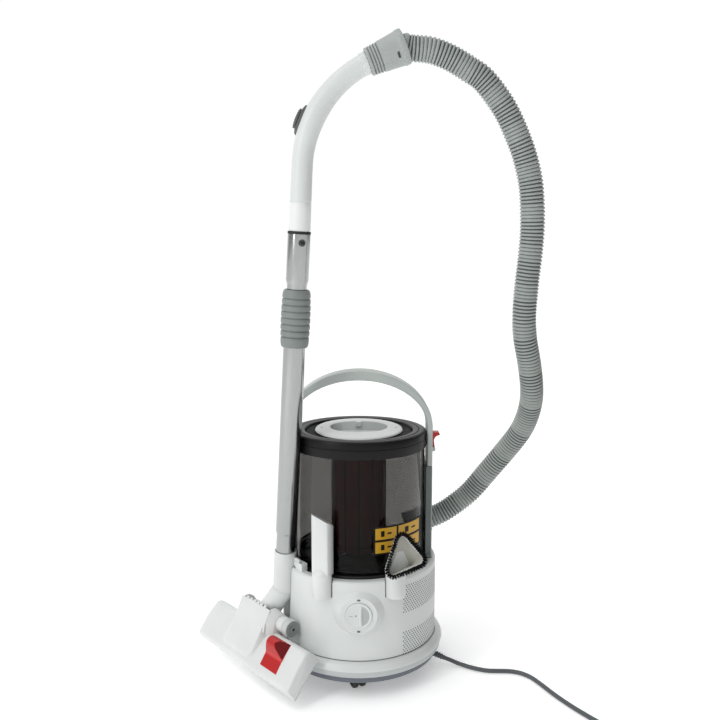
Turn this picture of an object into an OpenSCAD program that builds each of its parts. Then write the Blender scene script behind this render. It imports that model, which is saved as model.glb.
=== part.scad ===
/* [Canister] */
// Radius of the white motor housing
body_r = 132; // [128:1:136]
// Height of the housing's top rim above the floor
rim_z = 190; // [186:1:194]
// Height of the top of the black lid
lid_z = 406; // [400:1:412]
// Radius of the smoked dust bin
bin_r = 110; // [108:0.5:110.5]
// Radius of the bulged base ring
ring_r = 144.5; // [140:0.5:148]
// Height of the top of the carry handle
handle_z = 509; // [500:1:520]
// Width of the carry handle band, front to back
band_w = 46; // [36:1:48]

/* [Wand and hose] */
// Outer radius of the lower steel tube
tube_r = 17.5; // [17:0.25:18]
// Outer radius of the inner sliding tube
inner_r = 15.5; // [15:0.25:16]
// Outer radius of the corrugated hose
hose_r = 19; // [17:0.5:20]
// Lean of the parked wand from upright, in degrees
wand_tilt = 5.1; // [4.8:0.1:5.4]

/* [Floor head] */
// Length of the floor head
head_l = 266; // [250:2:270]
// Depth of the floor head, front edge to rear edge
head_w = 72; // [70:1:74]
// Angle that the head leans back from lying flat, in degrees
head_lean = 49; // [48:0.5:50]

/* [Mains cord] */
// Radius of the mains cord
cord_r = 3.5; // [3:0.25:3.75]

/* [Hidden] */
fit = 0.05;
gap = 0.4;
skin = 2.5;

// canister levels
plate_z = 15.5;
deck_z = 38;
ring_z0 = 36;
ring_z1 = 58;
bin_z = 192;
skirt_z = 383;
seam_z = 348;
spring_z = 414;
arm_x0 = 115;
arm_x1 = 124;

// dial
dial_z = 140;
dial_r = 21;
boss_y = -141;

// accessory pockets
tool_at = 133;
tool_turn = 26;
pocket_z = 163;
tool_r = 17;

// handle hinge and latches
hinge = [27, seam_z];
latch_pin = [127, 375];

// casters
caster_at = 103;
wheel_r = 14;
trail = 5;
caster_turns = [25, 120, 200, -60];

// hose inlet
port_at = [122, 56, 232];
port_tilt = 75;

// wand: the point where the neck meets the elbow, and its heading
foot = [-125.1, -54.5, 148.9];
wand_turn = -49;
neck_r = 18.4;
neck_end = 67;
step_at = 97;
lower_end = 480;
collar_z0 = 409;
collar_z1 = 499;
taper_at = 506;
inner_end = 588;
bend_at = 687;
bend_r = 172;
bend_sweep = 64;
slider_turn = 20;
grip_r = 15.5;

// floor head: its front edge's middle, heading and neck pivot
head_at = [-186.1, -72.6, 16.7];
head_turn = -48;
pivot = [0.9, 87.8, 25.4];
pedal_x = [52, 96];
pedal_y = [17, 66];

// the pivot's place above the floor, by the head's lean and heading
pivot_back = pivot[1] * cos(head_lean) - pivot[2] * sin(head_lean);
pivot_world = head_at + [
    pivot[0] * cos(head_turn) - pivot_back * sin(head_turn),
    pivot[0] * sin(head_turn) + pivot_back * cos(head_turn),
    pivot[1] * sin(head_lean) + pivot[2] * cos(head_lean)];

// free hose, from the grip's swivel to the bin's inlet
hose_route = [
    [42.6, -111.4, 990.7], [64.7, -112.1, 1000.0], [78, -111.2, 998.6], [106, -110, 996], [134, -108, 986.5],
    [162, -106, 971],
    [187, -104, 954], [219, -100, 914], [243, -96, 867], [256, -92, 832], [264, -89, 795],
    [268, -83, 743], [267, -78, 700], [264, -72, 655], [263, -64, 606], [267, -56, 568],
    [277, -45, 527], [285, -32, 488], [288, -18, 458], [286, 0, 428], [277, 17, 397],
    [254, 38, 356], [228, 51, 318], [200, 58, 281], [168, 57.5, 254.5], [147, 56.5, 241.5], [131, 56, 234.7], [117.2, 56, 230.7]
];

// mains cord, from the strain relief along the floor to the coil
cord_route = [
    [147, -31, 13], [158, -33, 9.5], [170, -37, 6], [184, -43, 4], [200, -51, 3.6], [218, -57, 3.5],
    [238, -58, 3.5], [256, -59, 3.5], [272, -65, 3.5], [286, -78, 3.5], [298, -100, 3.5],
    [312, -130, 3.5], [330, -162, 3.5], [350, -192, 3.5], [372, -222, 3.5], [392, -256, 3.5],
    [402, -286, 3.5], [404.5, -308, 3.5]
];
coil_at = [345, -308, 0];
coil_inner = 28;
coil_low_r = 63;
coil_top_r = 56;
coil_step = 7;
coil_h = 28;

$fn = 96;

// ---------- helpers ----------

// Points of an arc about c, from angle a0 to a1, in n steps
function arc(c, r, a0, a1, n = 8) = [for (i = [0:n]) let (a = a0 + (a1 - a0) * i / n)
    [c[0] + r * cos(a), c[1] + r * sin(a)]];

// Point on a smooth curve between p1 and p2, with their neighbours p0 and p3
function curve_point(p0, p1, p2, p3, t) = 0.5 * (2 * p1 + (p2 - p0) * t
    + (2 * p0 - 5 * p1 + 4 * p2 - p3) * t * t + (3 * p1 - p0 - 3 * p2 + p3) * t * t * t);

// The route's points with n steps between each two
function smooth(route, n) = let (last = len(route) - 1) concat(
    [for (i = [0:last - 1], k = [0:n - 1])
        let (before = i > 0 ? route[i - 1] : 2 * route[0] - route[1])
        let (after = i < last - 1 ? route[i + 2] : 2 * route[last] - route[last - 1])
        curve_point(before, route[i], route[i + 1], after, k / n)],
    [route[last]]);

function unit(v) = v / norm(v);

// Direction of a path at its point i
function heading(path, i) = unit(path[min(i + 1, len(path) - 1)] - path[max(i - 1, 0)]);

// A round tube swept along a path; side is a direction that the path never follows
module swept_tube(path, r, sides, side) {
    rings = [for (i = [0:len(path) - 1]) let (d = heading(path, i), u = unit(cross(d, side)), v = cross(u, d))
        for (k = [0:sides - 1]) path[i] + r * (cos(360 * k / sides) * u + sin(360 * k / sides) * v)];
    last = (len(path) - 1) * sides;
    faces = concat(
        [[for (k = [0:sides - 1]) k]],
        [for (i = [0:len(path) - 2], k = [0:sides - 1]) let (n = (k + 1) % sides)
            [i * sides + k, (i + 1) * sides + k, (i + 1) * sides + n, i * sides + n]],
        [[for (k = [sides - 1:-1:0]) last + k]]);
    polyhedron(rings, faces, convexity = 6);
}

module ring(r_out, r_in, z0, z1) {
    translate([0, 0, z0]) difference() {
        cylinder(r = r_out, h = z1 - z0);
        translate([0, 0, -1]) cylinder(r = r_in, h = z1 - z0 + 2);
    }
}

// A block with rounded corners in plan, centred on x and y
module rounded_block(size, r) {
    linear_extrude(size[2]) rounded_plan(size[0], size[1], r);
}

module rounded_plan(w, d, r) {
    square([w - 2 * r, d], center = true);
    square([w, d - 2 * r], center = true);
    for (x = [-1, 1], y = [-1, 1]) translate([x * (w / 2 - r), y * (d / 2 - r)]) circle(r);
}

// Turns a drawing in the y-z plane into a block from x0 to x1
module across(x0, x1) {
    translate([x0, 0, 0]) rotate([90, 0, 90]) linear_extrude(x1 - x0) children();
}

// A rod along x at (y, z)
module rod_x(x0, x1, at, r) {
    translate([x0, at[0], at[1]]) rotate([0, 90, 0]) cylinder(r = r, h = x1 - x0);
}

module both_sides() {
    children();
    mirror([1, 0, 0]) children();
}

// The frame of the parked wand: z along it, from the neck's foot
module wand() {
    translate(foot) rotate([0, 0, wand_turn]) rotate([0, wand_tilt, 0]) children();
}

// The frame of the floor head: x along it, y to its rear, z out of its top
module head() {
    translate(head_at) rotate([0, 0, head_turn]) rotate([head_lean, 0, 0]) children();
}

// A frame at p with z pointing to q
module aim(p, q) {
    d = q - p;
    translate(p) rotate([0, 0, atan2(d[1], d[0])]) rotate([0, acos(d[2] / norm(d)), 0]) children();
}

// ---------- base ----------

module caster_spot(i) {
    rotate([0, 0, 90 * i]) translate([0, -caster_at, 0]) children();
}

module base_plate() color("dimgray") difference() {
    union() {
        rotate_extrude() polygon(concat(
            [[0, 20], [60, 20], [62, plate_z]],
            [[120, plate_z]], arc([122, plate_z + 4], 4, -90, -15, 5),
            [[128, ring_z0 + 2], [128.4, deck_z + 4], [125.6, deck_z + 4], [124.5, 36], [111, 22], [66, 22],
             [66, 24], [0, 24]]));
        for (i = [0:3]) caster_spot(i) translate([0, 0, plate_z]) cylinder(r = 25, h = deck_z - plate_z);
        ring(56, 51, 22, 56);
        rotate([0, 0, -13]) translate([114, 0, 29]) cube([20, 20, 18], center = true);
    }
    rotate_extrude() polygon([[112, plate_z - 2], [150, plate_z - 2], [150, 33], [129.5, 33]]);
    for (i = [0:3]) caster_spot(i) {
        translate([0, 0, plate_z - 1]) cylinder(r = 22.5, h = 17.5);
        translate([0, 0, plate_z]) cylinder(r = 4 + fit, h = deck_z);
    }
    cord_exit() translate([0, 0, -20]) cylinder(r = 5.6, h = 60);
}

// The frame of the cord's way out, z along the strain relief
module cord_exit() {
    aim([110, -25.4, 28], cord_route[0]) children();
}

module base_ring() color("whitesmoke") difference() {
    rotate_extrude() polygon(concat(
        [[128.8, ring_z0]],
        arc([ring_r - 8, ring_z0 + 7], 7, -90, -10, 6),
        arc([ring_r - 12, ring_z0 + 11], 12, 5, 70, 8),
        [[body_r + 0.2, ring_z1 + 2.5], [body_r + 0.2, ring_z1 - 10], [128.8, ring_z1 - 10]]));
    rotate([0, 0, -13]) translate([150, 0, 31]) cube([44, 26, 22], center = true);
}

module caster_fork(i) color([0.22, 0.23, 0.23]) caster_spot(i) rotate([0, 0, caster_turns[i]]) {
    difference() {
        union() {
            translate([0, 0, 29.6]) cylinder(r = 12, h = 2.2);
            translate([0, 0, 31]) cylinder(r = 4, h = 8);
            translate([-2, trail - 6, wheel_r]) cube([4, 12, 17]);
            rod_x(-2, 2, [trail, wheel_r], 6);
        }
    }
    rod_x(-11, 11, [trail, wheel_r], 2);
}

module caster_wheels(i) color([0.12, 0.12, 0.12]) caster_spot(i) rotate([0, 0, caster_turns[i]]) {
    for (s = [-1, 1]) translate([s * 6.7, trail, wheel_r]) rotate([0, 90, 0]) difference() {
        rotate_extrude() polygon(concat([[0, -4], [9, -4]], arc([wheel_r - 3, -1], 3, -90, 0, 5),
            arc([wheel_r - 3, 1], 3, 0, 90, 5), [[9, 4], [8, 3], [0, 3]]));
        cylinder(r = 2 + fit, h = 20, center = true);
    }
}

// ---------- motor housing ----------

module housing_wall() {
    rotate_extrude() polygon(concat(
        [[body_r, ring_z1 - 9.6], [body_r, rim_z - 6]],
        arc([body_r - 5, rim_z - 5], 5, 0, 90, 7),
        arc([120, rim_z - 3], 3, 90, 180, 5),
        [[117, 178], [38, 178], [38, 175], [body_r - 3, 175], [body_r - 3, ring_z1 - 9.6]]));
}

module tool_spot(side) {
    rotate([0, 0, side * tool_turn]) translate([0, -tool_at, 0]) children();
}

module body_shell() color("whitesmoke") {
    difference() {
        union() {
            housing_wall();
            translate([0, -118, dial_z]) rotate([90, 0, 0]) cylinder(r1 = 46, r2 = 29, h = -boss_y - 118);
            intersection() {
                for (s = [-1, 1]) tool_spot(s) translate([0, 0, pocket_z - 3]) cylinder(r = tool_r + 3.4, h = 24);
                cylinder(r = body_r - 0.2, h = 400);
            }
            intersection() {
                wand() translate([0, 0, -64]) cylinder(r = neck_r + 3.2, h = 120);
                ring(body_r - 0.2, 100, ring_z1 + 6, rim_z - 2);
            }
        }
        cylinder_void();
        translate([0, 0, 178]) cylinder(r = 117, h = 30);
        for (s = [-1, 1]) tool_spot(s) translate([0, 0, pocket_z]) cylinder(r = tool_r + 0.6, h = 60);
        translate([0, boss_y + 4.5, dial_z]) rotate([90, 0, 0]) cylinder(r = dial_r + gap, h = 20);
        translate([0, -100, dial_z]) rotate([90, 0, 0]) cylinder(r = 6.5, h = 50);
        wand() translate([0, 0, -60]) cylinder(r = neck_r + 0.7, h = 160);
        aim(foot, pivot_world) cylinder(r = neck_r + 0.7, h = 60);
    }
    for (s = [-1, 1]) tool_spot(s) translate([0, 4, pocket_z - 1]) cylinder(r = 5.5, h = 14);
    difference() {
        translate([-24, -112, 158]) cube([48, 6, 18]);
        translate([-30, -109.8, 150]) cube([60, 1.8, 20]);
    }
}

// The room behind the dial boss, inside the wall
module cylinder_void() {
    difference() {
        translate([0, 0, 60]) cylinder(r = body_r - 3.01, h = 114.9);
        for (s = [-1, 1]) tool_spot(s) translate([0, 0, pocket_z - 3]) cylinder(r = tool_r + 3.4, h = 24);
        wand() translate([0, 0, -64]) cylinder(r = neck_r + 3.2, h = 120);
    }
}

module park_bracket() color("whitesmoke") bracket_spot() difference() {
    translate([-7.5, -4, rim_z]) cube([11, 17, 12]);
    translate([-2.2, -5, rim_z - 1]) cube([4.4, 15, 20]);
}

// The bracket stands on the rim beside the wand's neck
module bracket_spot() {
    rotate([0, 0, 218]) translate([124, 0, 0]) children();
}

module dial() color([0.74, 0.75, 0.75]) translate([0, boss_y + 4, dial_z]) rotate([90, 0, 0]) difference() {
    union() {
        cylinder(r = dial_r, h = 6);
        translate([0, 0, -17]) cylinder(r = 3, h = 18);
    }
    intersection() {
        translate([0, 0, 2.6]) cylinder(r = dial_r - 2, h = 6);
        translate([6, -30, 0]) cube([30, 60, 30]);
    }
}

module rotary_switch() color([0.15, 0.15, 0.15]) translate([0, -115, dial_z]) difference() {
    cube([26, 11, 26], center = true);
    rotate([90, 0, 0]) cylinder(r = 3 + fit, h = 40, center = true);
}

module circuit_board() color("darkgreen") {
    translate([-22, -109.5, 84]) cube([44, 1.4, 82]);
    for (x = [-14, -2, 10]) translate([x, -108.1, 92]) cube([8, 9, 14]);
    translate([-10, -108.1, 114]) cube([20, 12, 10]);
}

// ---------- motor ----------

module motor_can() color("silver") difference() {
    union() {
        translate([0, 0, 62]) cylinder(r = 46, h = 56);
        translate([0, 0, 60]) cylinder(r = 20, h = 4);
    }
    translate([0, 0, 66]) cylinder(r = 43, h = 60);
    translate([0, 0, 50]) cylinder(r = 5 + fit, h = 30);
    for (a = [0:45:315]) rotate([0, 0, a]) translate([30, 0, 50]) cylinder(r = 6, h = 30);
}

module fan_cover() color([0.78, 0.78, 0.8]) {
    difference() {
        translate([0, 0, 118]) cylinder(r = 62, h = 32);
        translate([0, 0, 121]) cylinder(r = 59.5, h = 26);
        translate([0, 0, 140]) cylinder(r = 20, h = 20);
        translate([0, 0, 110]) cylinder(r = 5 + fit, h = 20);
        for (a = [0:30:330]) rotate([0, 0, a]) translate([52, 0, 110]) cylinder(r = 4.5, h = 10);
    }
}

module motor_rotor() color("peru") {
    translate([0, 0, 60.5]) cylinder(r = 5, h = 84);
    difference() {
        translate([0, 0, 76]) cylinder(r = 24, h = 30);
        for (a = [0:30:330]) rotate([0, 0, a]) translate([23, -1, 70]) cube([4, 2, 40]);
    }
    translate([0, 0, 108]) cylinder(r = 11, h = 8);
}

module impeller() color("gainsboro") {
    ring(56, 5.01, 125, 127);
    ring(56, 17, 140, 141.5);
    for (a = [0:40:320]) rotate([0, 0, a]) translate([18, 0, 126.5]) rotate([0, 0, 35]) cube([30, 1.4, 14]);
    ring(9, 5.01, 124, 136);
}

module motor_mounts() color([0.1, 0.1, 0.1]) {
    ring(56, 44, 56, 62);
    rotate_extrude() polygon([[34, 150], [40, 150], [43, 158], [40, 166], [44, 175], [36, 175], [34, 166], [37, 158]]);
}

module exhaust_filter() color("darkslategray") rotate([0, 0, -61]) rotate_extrude(angle = 56)
    translate([112, 60]) square([15, 86]);

// ---------- handle and latches ----------

// Side view of the lower arm, wide at the foot
module lower_arm_side() {
    polygon(concat([[-29, rim_z - 1.5], [29, rim_z - 1.5]],
        arc([35, rim_z + 12], 12, 240, 180, 6),
        [[band_w / 2, seam_z], [-band_w / 2, seam_z]],
        arc([-35, rim_z + 12], 12, 0, -60, 6)));
}

module side_arms() color([0.45, 0.48, 0.47]) both_sides() {
    difference() {
        union() {
            across(arm_x0, arm_x1) lower_arm_side();
            rod_x(arm_x0, arm_x1, hinge, 5.5);
            across(arm_x0, arm_x1) translate([hinge[0] - 6, seam_z - 16]) square([7, 16]);
        }
        rod_x(arm_x0 + 2.8, arm_x1 - 2.8, hinge, 6.4);
        rod_x(arm_x0 - 1, arm_x1 + 1, hinge, 2.5);
        translate([0, 0, rim_z - 8]) ring(body_r, 100, 0, 8);
    }
}

module handle_pins() color("silver") both_sides() rod_x(arm_x0 - 0.4, arm_x1 + 0.4, hinge, 2.5);

// Front view of the arch with its two arms
module arch_front() {
    difference() {
        arch_outline(arm_x1, handle_z);
        arch_outline(arm_x0, handle_z - 15.5);
        translate([-arm_x0, 0]) square([2 * arm_x0, spring_z + 0.01]);
        translate([-200, 0]) square([400, seam_z + gap]);
    }
}

module arch_outline(a, top) {
    polygon(concat([[a, 0]], [for (t = [0:3:180]) [a * cos(t), spring_z + (top - spring_z) * sin(t)]], [[-a, 0]]));
}

module carry_handle() color([0.76, 0.78, 0.77]) {
    difference() {
        union() {
            translate([0, band_w / 2, 0]) rotate([90, 0, 0]) linear_extrude(band_w) arch_front();
            both_sides() {
                rod_x(arm_x0 + 3.1, arm_x1 - 3.1, hinge, 5.5);
                across(arm_x0 + 3.1, arm_x1 - 3.1) polygon([[hinge[0] - 10, seam_z + gap], [hinge[0] + 5.5, seam_z],
                    [hinge[0] + 5.5, seam_z + 4], [band_w / 2 - 2, seam_z + 16]]);
            }
        }
        both_sides() {
            rod_x(arm_x0 - 1, arm_x0 + 3.1, hinge, 6);
            rod_x(arm_x1 - 3.1, arm_x1 + 1, hinge, 6);
            rod_x(arm_x0 - 1, arm_x1 + 1, hinge, 2.5 + fit);
        }
    }
    both_sides() for (s = [-1, 1]) translate([arm_x1 - 0.2, s * 11.5 - 1.5, latch_pin[1] - 4]) cube([6, 3, 8]);
    both_sides() pin_y(1.6);
}

// The latch's pivot pin along y
module pin_y(r) {
    translate([latch_pin[0], 13, latch_pin[1]]) rotate([90, 0, 0]) cylinder(r = r, h = 26);
}

module latch_right() color("firebrick") difference() {
    translate([0, 9, 0]) rotate([90, 0, 0]) linear_extrude(18) union() {
        translate(latch_pin) circle(2.7);
        polygon(concat([[latch_pin[0] - 1.4, latch_pin[1]], [latch_pin[0] + 1.4, latch_pin[1]]],
            arc([137, 392], 9.5, 180, 100, 8), [[137.5, 402.5], [136, 406], [125, 406]]));
    }
    pin_y(1.6 + fit);
}

module latch_left() mirror([1, 0, 0]) latch_right();

// ---------- dust bin, lid and filter ----------

module bin() color([0.35, 0.36, 0.36, 0.5]) difference() {
    rotate_extrude() polygon([[bin_r - 1.5, bin_z], [bin_r, bin_z + 3], [bin_r, skirt_z], [bin_r - skin, skirt_z],
        [bin_r - skin, bin_z + 5], [bin_r - 5, bin_z]]);
    inlet_frame() cylinder(r = 20.5 + fit, h = 120, center = true);
}

module bin_base() color([0.12, 0.12, 0.13]) {
    rotate_extrude() polygon([[36, 178.2], [112.3, 178.2], [113.3, 181], [113.3, 189], [112, bin_z], [bin_r - 12, bin_z],
        [bin_r - 12, 184], [46, 184], [46, 198], [43.5, 198], [43.5, 184], [36, 184]]);
}

module inlet_frame() {
    translate(port_at) rotate([0, port_tilt, 0]) children();
}

module inlet_port() color([0.2, 0.2, 0.2]) difference() {
    inlet_frame() ring(20.5, 17, -42, -6);
    cylinder(r = bin_r - 14, h = 400);
}

module port_cuff() color([0.62, 0.64, 0.63]) inlet_frame() difference() {
    translate([0, 0, -14]) cylinder(r = 23, h = 19);
    translate([0, 0, -15]) cylinder(r = 20.5 + fit, h = 9);
    translate([0, 0, -7]) cylinder(r = hose_r + 0.8, h = 20);
}

module lid_ring() color([0.09, 0.09, 0.09]) rotate_extrude() polygon(concat(
    [[bin_r + 0.3, skirt_z - 5], [112.4, skirt_z - 5], [112.6, skirt_z + 8]],
    arc([109.5, lid_z - 3], 3, 0, 90, 5),
    [[103, lid_z], [101.5, lid_z - 1.5], [100, lid_z - 1.5], [98.5, lid_z], [93, lid_z], [91, lid_z - 2],
     [91, lid_z - 12], [72, lid_z - 12], [72, lid_z - 15], [104, lid_z - 15], [104, skirt_z + gap], [bin_r + 0.3, skirt_z + gap]]));

module filter_cap() color([0.14, 0.14, 0.15]) difference() {
    translate([0, 0, lid_z - 11.6]) cylinder(r = 90, h = 7.6);
    translate([0, 0, lid_z - 20]) linear_extrude(40) oval(52.2, 54.2, 10);
    for (a = [0:3:357]) rotate([0, 0, a]) translate([88.4, -0.8, lid_z - 7]) cube([3, 1.6, 6]);
}

// An oval with its middle moved back by dy
module oval(a, b, dy) {
    translate([0, dy]) polygon([for (t = [0:4:356]) [a * cos(t), b * sin(t)]]);
}

module filter_grip() color("white") difference() {
    union() {
        translate([0, 0, lid_z - 3.6]) linear_extrude(5) oval(74, 84, 0);
        translate([0, 0, lid_z - 21.6]) linear_extrude(19) oval(52, 54, 10);
    }
    translate([0, 0, lid_z - 18.6]) linear_extrude(30) oval(49, 51, 10);
}

module filter_cage() color([0.1, 0.08, 0.08]) difference() {
    translate([0, 0, 202]) cylinder(r = 49.5, h = lid_z - 22 - 202);
    translate([0, 0, 204]) cylinder(r = 47.5, h = lid_z - 25 - 204);
    for (a = [0:30:330], z = [215:28:330]) rotate([0, 0, a]) translate([44, -9, z]) cube([10, 18, 20]);
    translate([0, 0, 200]) cylinder(r = 34, h = 8);
}

module filter_core() color([0.35, 0.08, 0.07]) difference() {
    translate([0, 0, 204.5]) linear_extrude(165)
        polygon([for (i = [0:79]) let (r = i % 2 == 0 ? 46 : 39) [r * cos(4.5 * i), r * sin(4.5 * i)]]);
    translate([0, 0, 200]) cylinder(r = 34, h = 200);
}

// ---------- accessory tools ----------

module crevice_tool() color("white") tool_spot(-1) difference() {
    union() {
        translate([0, 0, pocket_z + 0.4]) cylinder(r = tool_r, h = 42);
        translate([0, 2.5, 204]) linear_extrude(96) rounded_plan(33.6, 27, 10);
    }
    translate([0, 0, pocket_z]) cylinder(r = tool_r - 2.2, h = 41);
    translate([0, 2.5, 203]) linear_extrude(100) rounded_plan(29.2, 22.6, 8);
    translate([-30, -44, 208]) rotate([-10, 0, 0]) cube([60, 36, 140]);
    translate([0, 0, 291]) rotate([0, 28, 0]) translate([-40, -40, 0]) cube([80, 80, 60]);
}

// Plan of the brush's mouth: a triangle with round corners
module brush_mouth(grow) {
    hull() for (p = [[-2.3, 23.2], [-21, -17.7], [19.5, -6.1]]) translate(p) circle(9 + grow, $fn = 32);
}

// The frame of the brush's mouth
module brush_frame() {
    tool_spot(1) translate([4.3, -18.2, 233.5]) rotate([69, 0, -12]) children();
}

module dusting_brush() color("white") {
    difference() {
        union() {
            tool_spot(1) translate([0, 0, pocket_z + 0.4]) cylinder(r = tool_r - 1, h = 40);
            hull() {
                tool_spot(1) translate([0, 0, 199]) cylinder(r = tool_r - 1.8, h = 3, $fn = 32);
                brush_frame() linear_extrude(8) brush_mouth(2);
            }
        }
        tool_spot(1) translate([0, 0, pocket_z]) cylinder(r = tool_r - 3.4, h = 37.2);
        hull() {
            tool_spot(1) translate([0, 0, 199.5]) cylinder(r = tool_r - 5, h = 1, $fn = 32);
            brush_frame() translate([0, 0, 5]) linear_extrude(4) brush_mouth(-2);
        }
    }
}

module brush_bristles() color([0.05, 0.05, 0.05]) brush_frame() translate([0, 0, 8.05]) linear_extrude(9) difference() {
    brush_mouth(2);
    brush_mouth(-2.5);
}

// ---------- hose ----------

module hose() color([0.6, 0.62, 0.6]) swept_tube(smooth(hose_route, 2), hose_r, 12, [0, 1, 0]);

// The frame at the start of the grip's bend, x towards the bend's inside
module bend() {
    wand() rotate([0, 0, -wand_turn]) translate([0, 0, bend_at]) children();
}

// The frame at the end of the bend, z along the hose connector
module bend_end() {
    bend() translate([bend_r * (1 - cos(bend_sweep)), 0, bend_r * sin(bend_sweep)]) rotate([0, bend_sweep, 0]) children();
}

// The frame on the bend's centre line, a degrees round it, z along the grip
module on_bend(a) {
    bend() translate([bend_r, 0, 0]) rotate([0, a, 0]) translate([-bend_r, 0, 0]) children();
}

// The bend itself, a pipe turned about the bend's centre
module bent_pipe(r_out, r_in) {
    bend() translate([bend_r, 0, 0]) rotate([90, 0, 0]) rotate([0, 0, 180 - bend_sweep])
        rotate_extrude(angle = bend_sweep) translate([bend_r, 0]) difference() {
            circle(r_out);
            circle(r_in);
        }
}

module grip() color([0.86, 0.87, 0.86]) {
    wand() ring(grip_r, grip_r - 3, inner_end, bend_at);
    wand() difference() {
        ring(tube_r - 1.25, grip_r - 3, inner_end - 26, inner_end - 8);
        rotate([0, 0, -20]) translate([8, 0, inner_end - 17]) rotate([0, 90, 0]) {
            cylinder(r = 4.6, h = 6.6);
            cylinder(r = 3.4, h = 13);
        }
    }
    wand() ring(16, grip_r - 3, inner_end - 9, inner_end + 1);
    bent_pipe(grip_r, grip_r - 3);
    bend_end() ring(13.5, 10.5, 0, 19);
    bend_end() ring(16, 10.5, 19, 21);
    on_bend(slider_turn) rotate([0, 0, 180]) translate([12.7, 0, -25]) difference() {
        translate([4, 0, 0]) rounded_block([8, 15, 50], 3);
        translate([4, -3, 8]) cube([6, 6, 34]);
    }
}

module suction_slider() color([0.42, 0.43, 0.43]) on_bend(slider_turn) rotate([0, 0, 180]) difference() {
    union() {
        translate([23.3, 0, -15]) rounded_block([4.6, 13, 30], 2.2);
        translate([17.2, -2.6, -8]) cube([4, 5.2, 16]);
    }
    for (z = [-12:4:10]) translate([24.4, -8, z]) cube([2, 16, 1.4]);
}

module hose_connector() color([0.66, 0.68, 0.67]) bend_end() translate([0, 0, -7]) rotate_extrude() polygon(concat(
    [[grip_r + 0.6, 0], [20.4, 0]],
    [for (i = [0:3]) each [[20.4 + i * 0.35, 2 + 4 * i], [19.2 + i * 0.35, 3 + 4 * i], [20.8 + i * 0.35, 4.2 + 4 * i]]],
    [[25, 49], [26.2, 51], [26.2, 59], [24, 59], [24, 55], [hose_r + 1.8, 53], [hose_r + 0.5, 38], [hose_r + 0.5, 25.8], [13.5 + fit, 25.7],
     [13.5 + fit, 9], [grip_r + 0.6, 8.6]]));

// ---------- telescopic wand ----------

module inner_tube() color("silver") wand() difference() {
    rotate_extrude() polygon([[inner_r, 130], [inner_r, taper_at], [tube_r, taper_at + 7], [tube_r, inner_end - 4.4],
        [tube_r - 1.2, inner_end - 4.4], [tube_r - 1.2, taper_at + 8], [inner_r - 1, taper_at + 1], [inner_r - 1, 130]]);
    rotate([0, 0, -20]) translate([10, 0, inner_end - 17]) rotate([0, 90, 0]) cylinder(r = 3.4, h = 12);
}

module lock_button() color([0.08, 0.08, 0.08]) wand() rotate([0, 0, -20]) translate([12.9, 0, inner_end - 17])
    rotate([0, 90, 0]) {
        cylinder(r = 3.2, h = 5.6);
        cylinder(r = 4.4, h = 1.2);
    }

module tube_seal() color([0.07, 0.07, 0.07]) wand() ring(tube_r + 0.3, 16, inner_end - 4.2, inner_end - 0.2);

module lower_tube() color("silver") wand() difference() {
    rotate_extrude() polygon([[neck_r - 2.4, 30], [neck_r - 2.4, step_at], [tube_r, step_at + 3], [tube_r, lower_end],
        [tube_r - 1, lower_end], [tube_r - 1, step_at + 4], [neck_r - 3.2, step_at + 1], [neck_r - 3.2, 30]]);
}

module tube_guide() color([0.3, 0.3, 0.3]) wand() ring(tube_r - 1, inner_r + fit, lower_end - 60, lower_end);

module lock_collar() color([0.55, 0.57, 0.56]) wand() rotate_extrude() polygon(concat(
    [[tube_r + 0.08, collar_z0], [tube_r + 2, collar_z0]],
    [for (i = [0:6]) each [[22 + 0.8 * sin(180 * i / 6), collar_z0 + 8 + 10 * i],
        [22.4 + 0.8 * sin(180 * i / 6), collar_z0 + 15 + 10 * i], [20.8, collar_z0 + 16 + 10 * i],
        [20.8, collar_z0 + 17 + 10 * i]]],
    [[20.4, collar_z1 - 3], [19, collar_z1], [inner_r + 1, collar_z1], [inner_r + 1, lower_end + 10],
     [tube_r + 0.08, lower_end + 10]]));

// ---------- neck, elbow and floor head ----------

// The plane where neck and elbow meet halves the angle between them
wand_dir = [sin(wand_tilt) * cos(wand_turn), sin(wand_tilt) * sin(wand_turn), cos(wand_tilt)];
elbow_dir = unit(pivot_world - foot);
swivel_axis = unit(elbow_dir - wand_dir);
spigot_r = 12.6;

module below_seam(drop) {
    aim(foot, foot + swivel_axis) translate([0, 0, drop]) cylinder(r = 60, h = 120);
}

// The round spigot that the elbow turns on, and the ring in the neck that holds it
module swivel_spigot() {
    aim(foot, foot + swivel_axis) {
        ring(spigot_r, spigot_r - 2, -6, 3);
        ring(16, spigot_r - 2, 0.2, 3);
    }
}

module swivel_ring() {
    aim(foot, foot + swivel_axis) ring(16, spigot_r + fit, -3, -0.2);
}

module nozzle_neck() color("white") {
    swivel_ring();
    difference() {
        union() {
            wand() translate([0, 0, -20]) cylinder(r = neck_r, h = 20 + neck_end);
            hook_on_neck();
        }
        wand() translate([0, 0, 28]) cylinder(r = neck_r - 2.35, h = 60);
        wand() translate([0, 0, -30]) cylinder(r = neck_r - 4, h = 80);
        below_seam(-0.15);
    }
}

// The blade on the neck that drops into the canister's rim bracket
module hook_on_neck() {
    bracket_spot() translate([-2, -20, rim_z + 1]) cube([4, 24, 16]);
}

module nozzle_elbow() color("white") {
    swivel_spigot();
    difference() {
        union() {
            aim(pivot_world, foot) cylinder(r = neck_r, h = norm(foot - pivot_world) + 20);
            head() rod_x(pivot[0] - 18, pivot[0] + 26, [pivot[1], pivot[2]], 17);
        }
        aim(foot - 60 * swivel_axis, foot) cylinder(r = 60, h = 60.15);
        aim(pivot_world, foot) cylinder(r = neck_r - 4, h = 140);
        head() rod_x(-80, 80, [pivot[1], pivot[2]], 4 + fit);
    }
}

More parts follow.
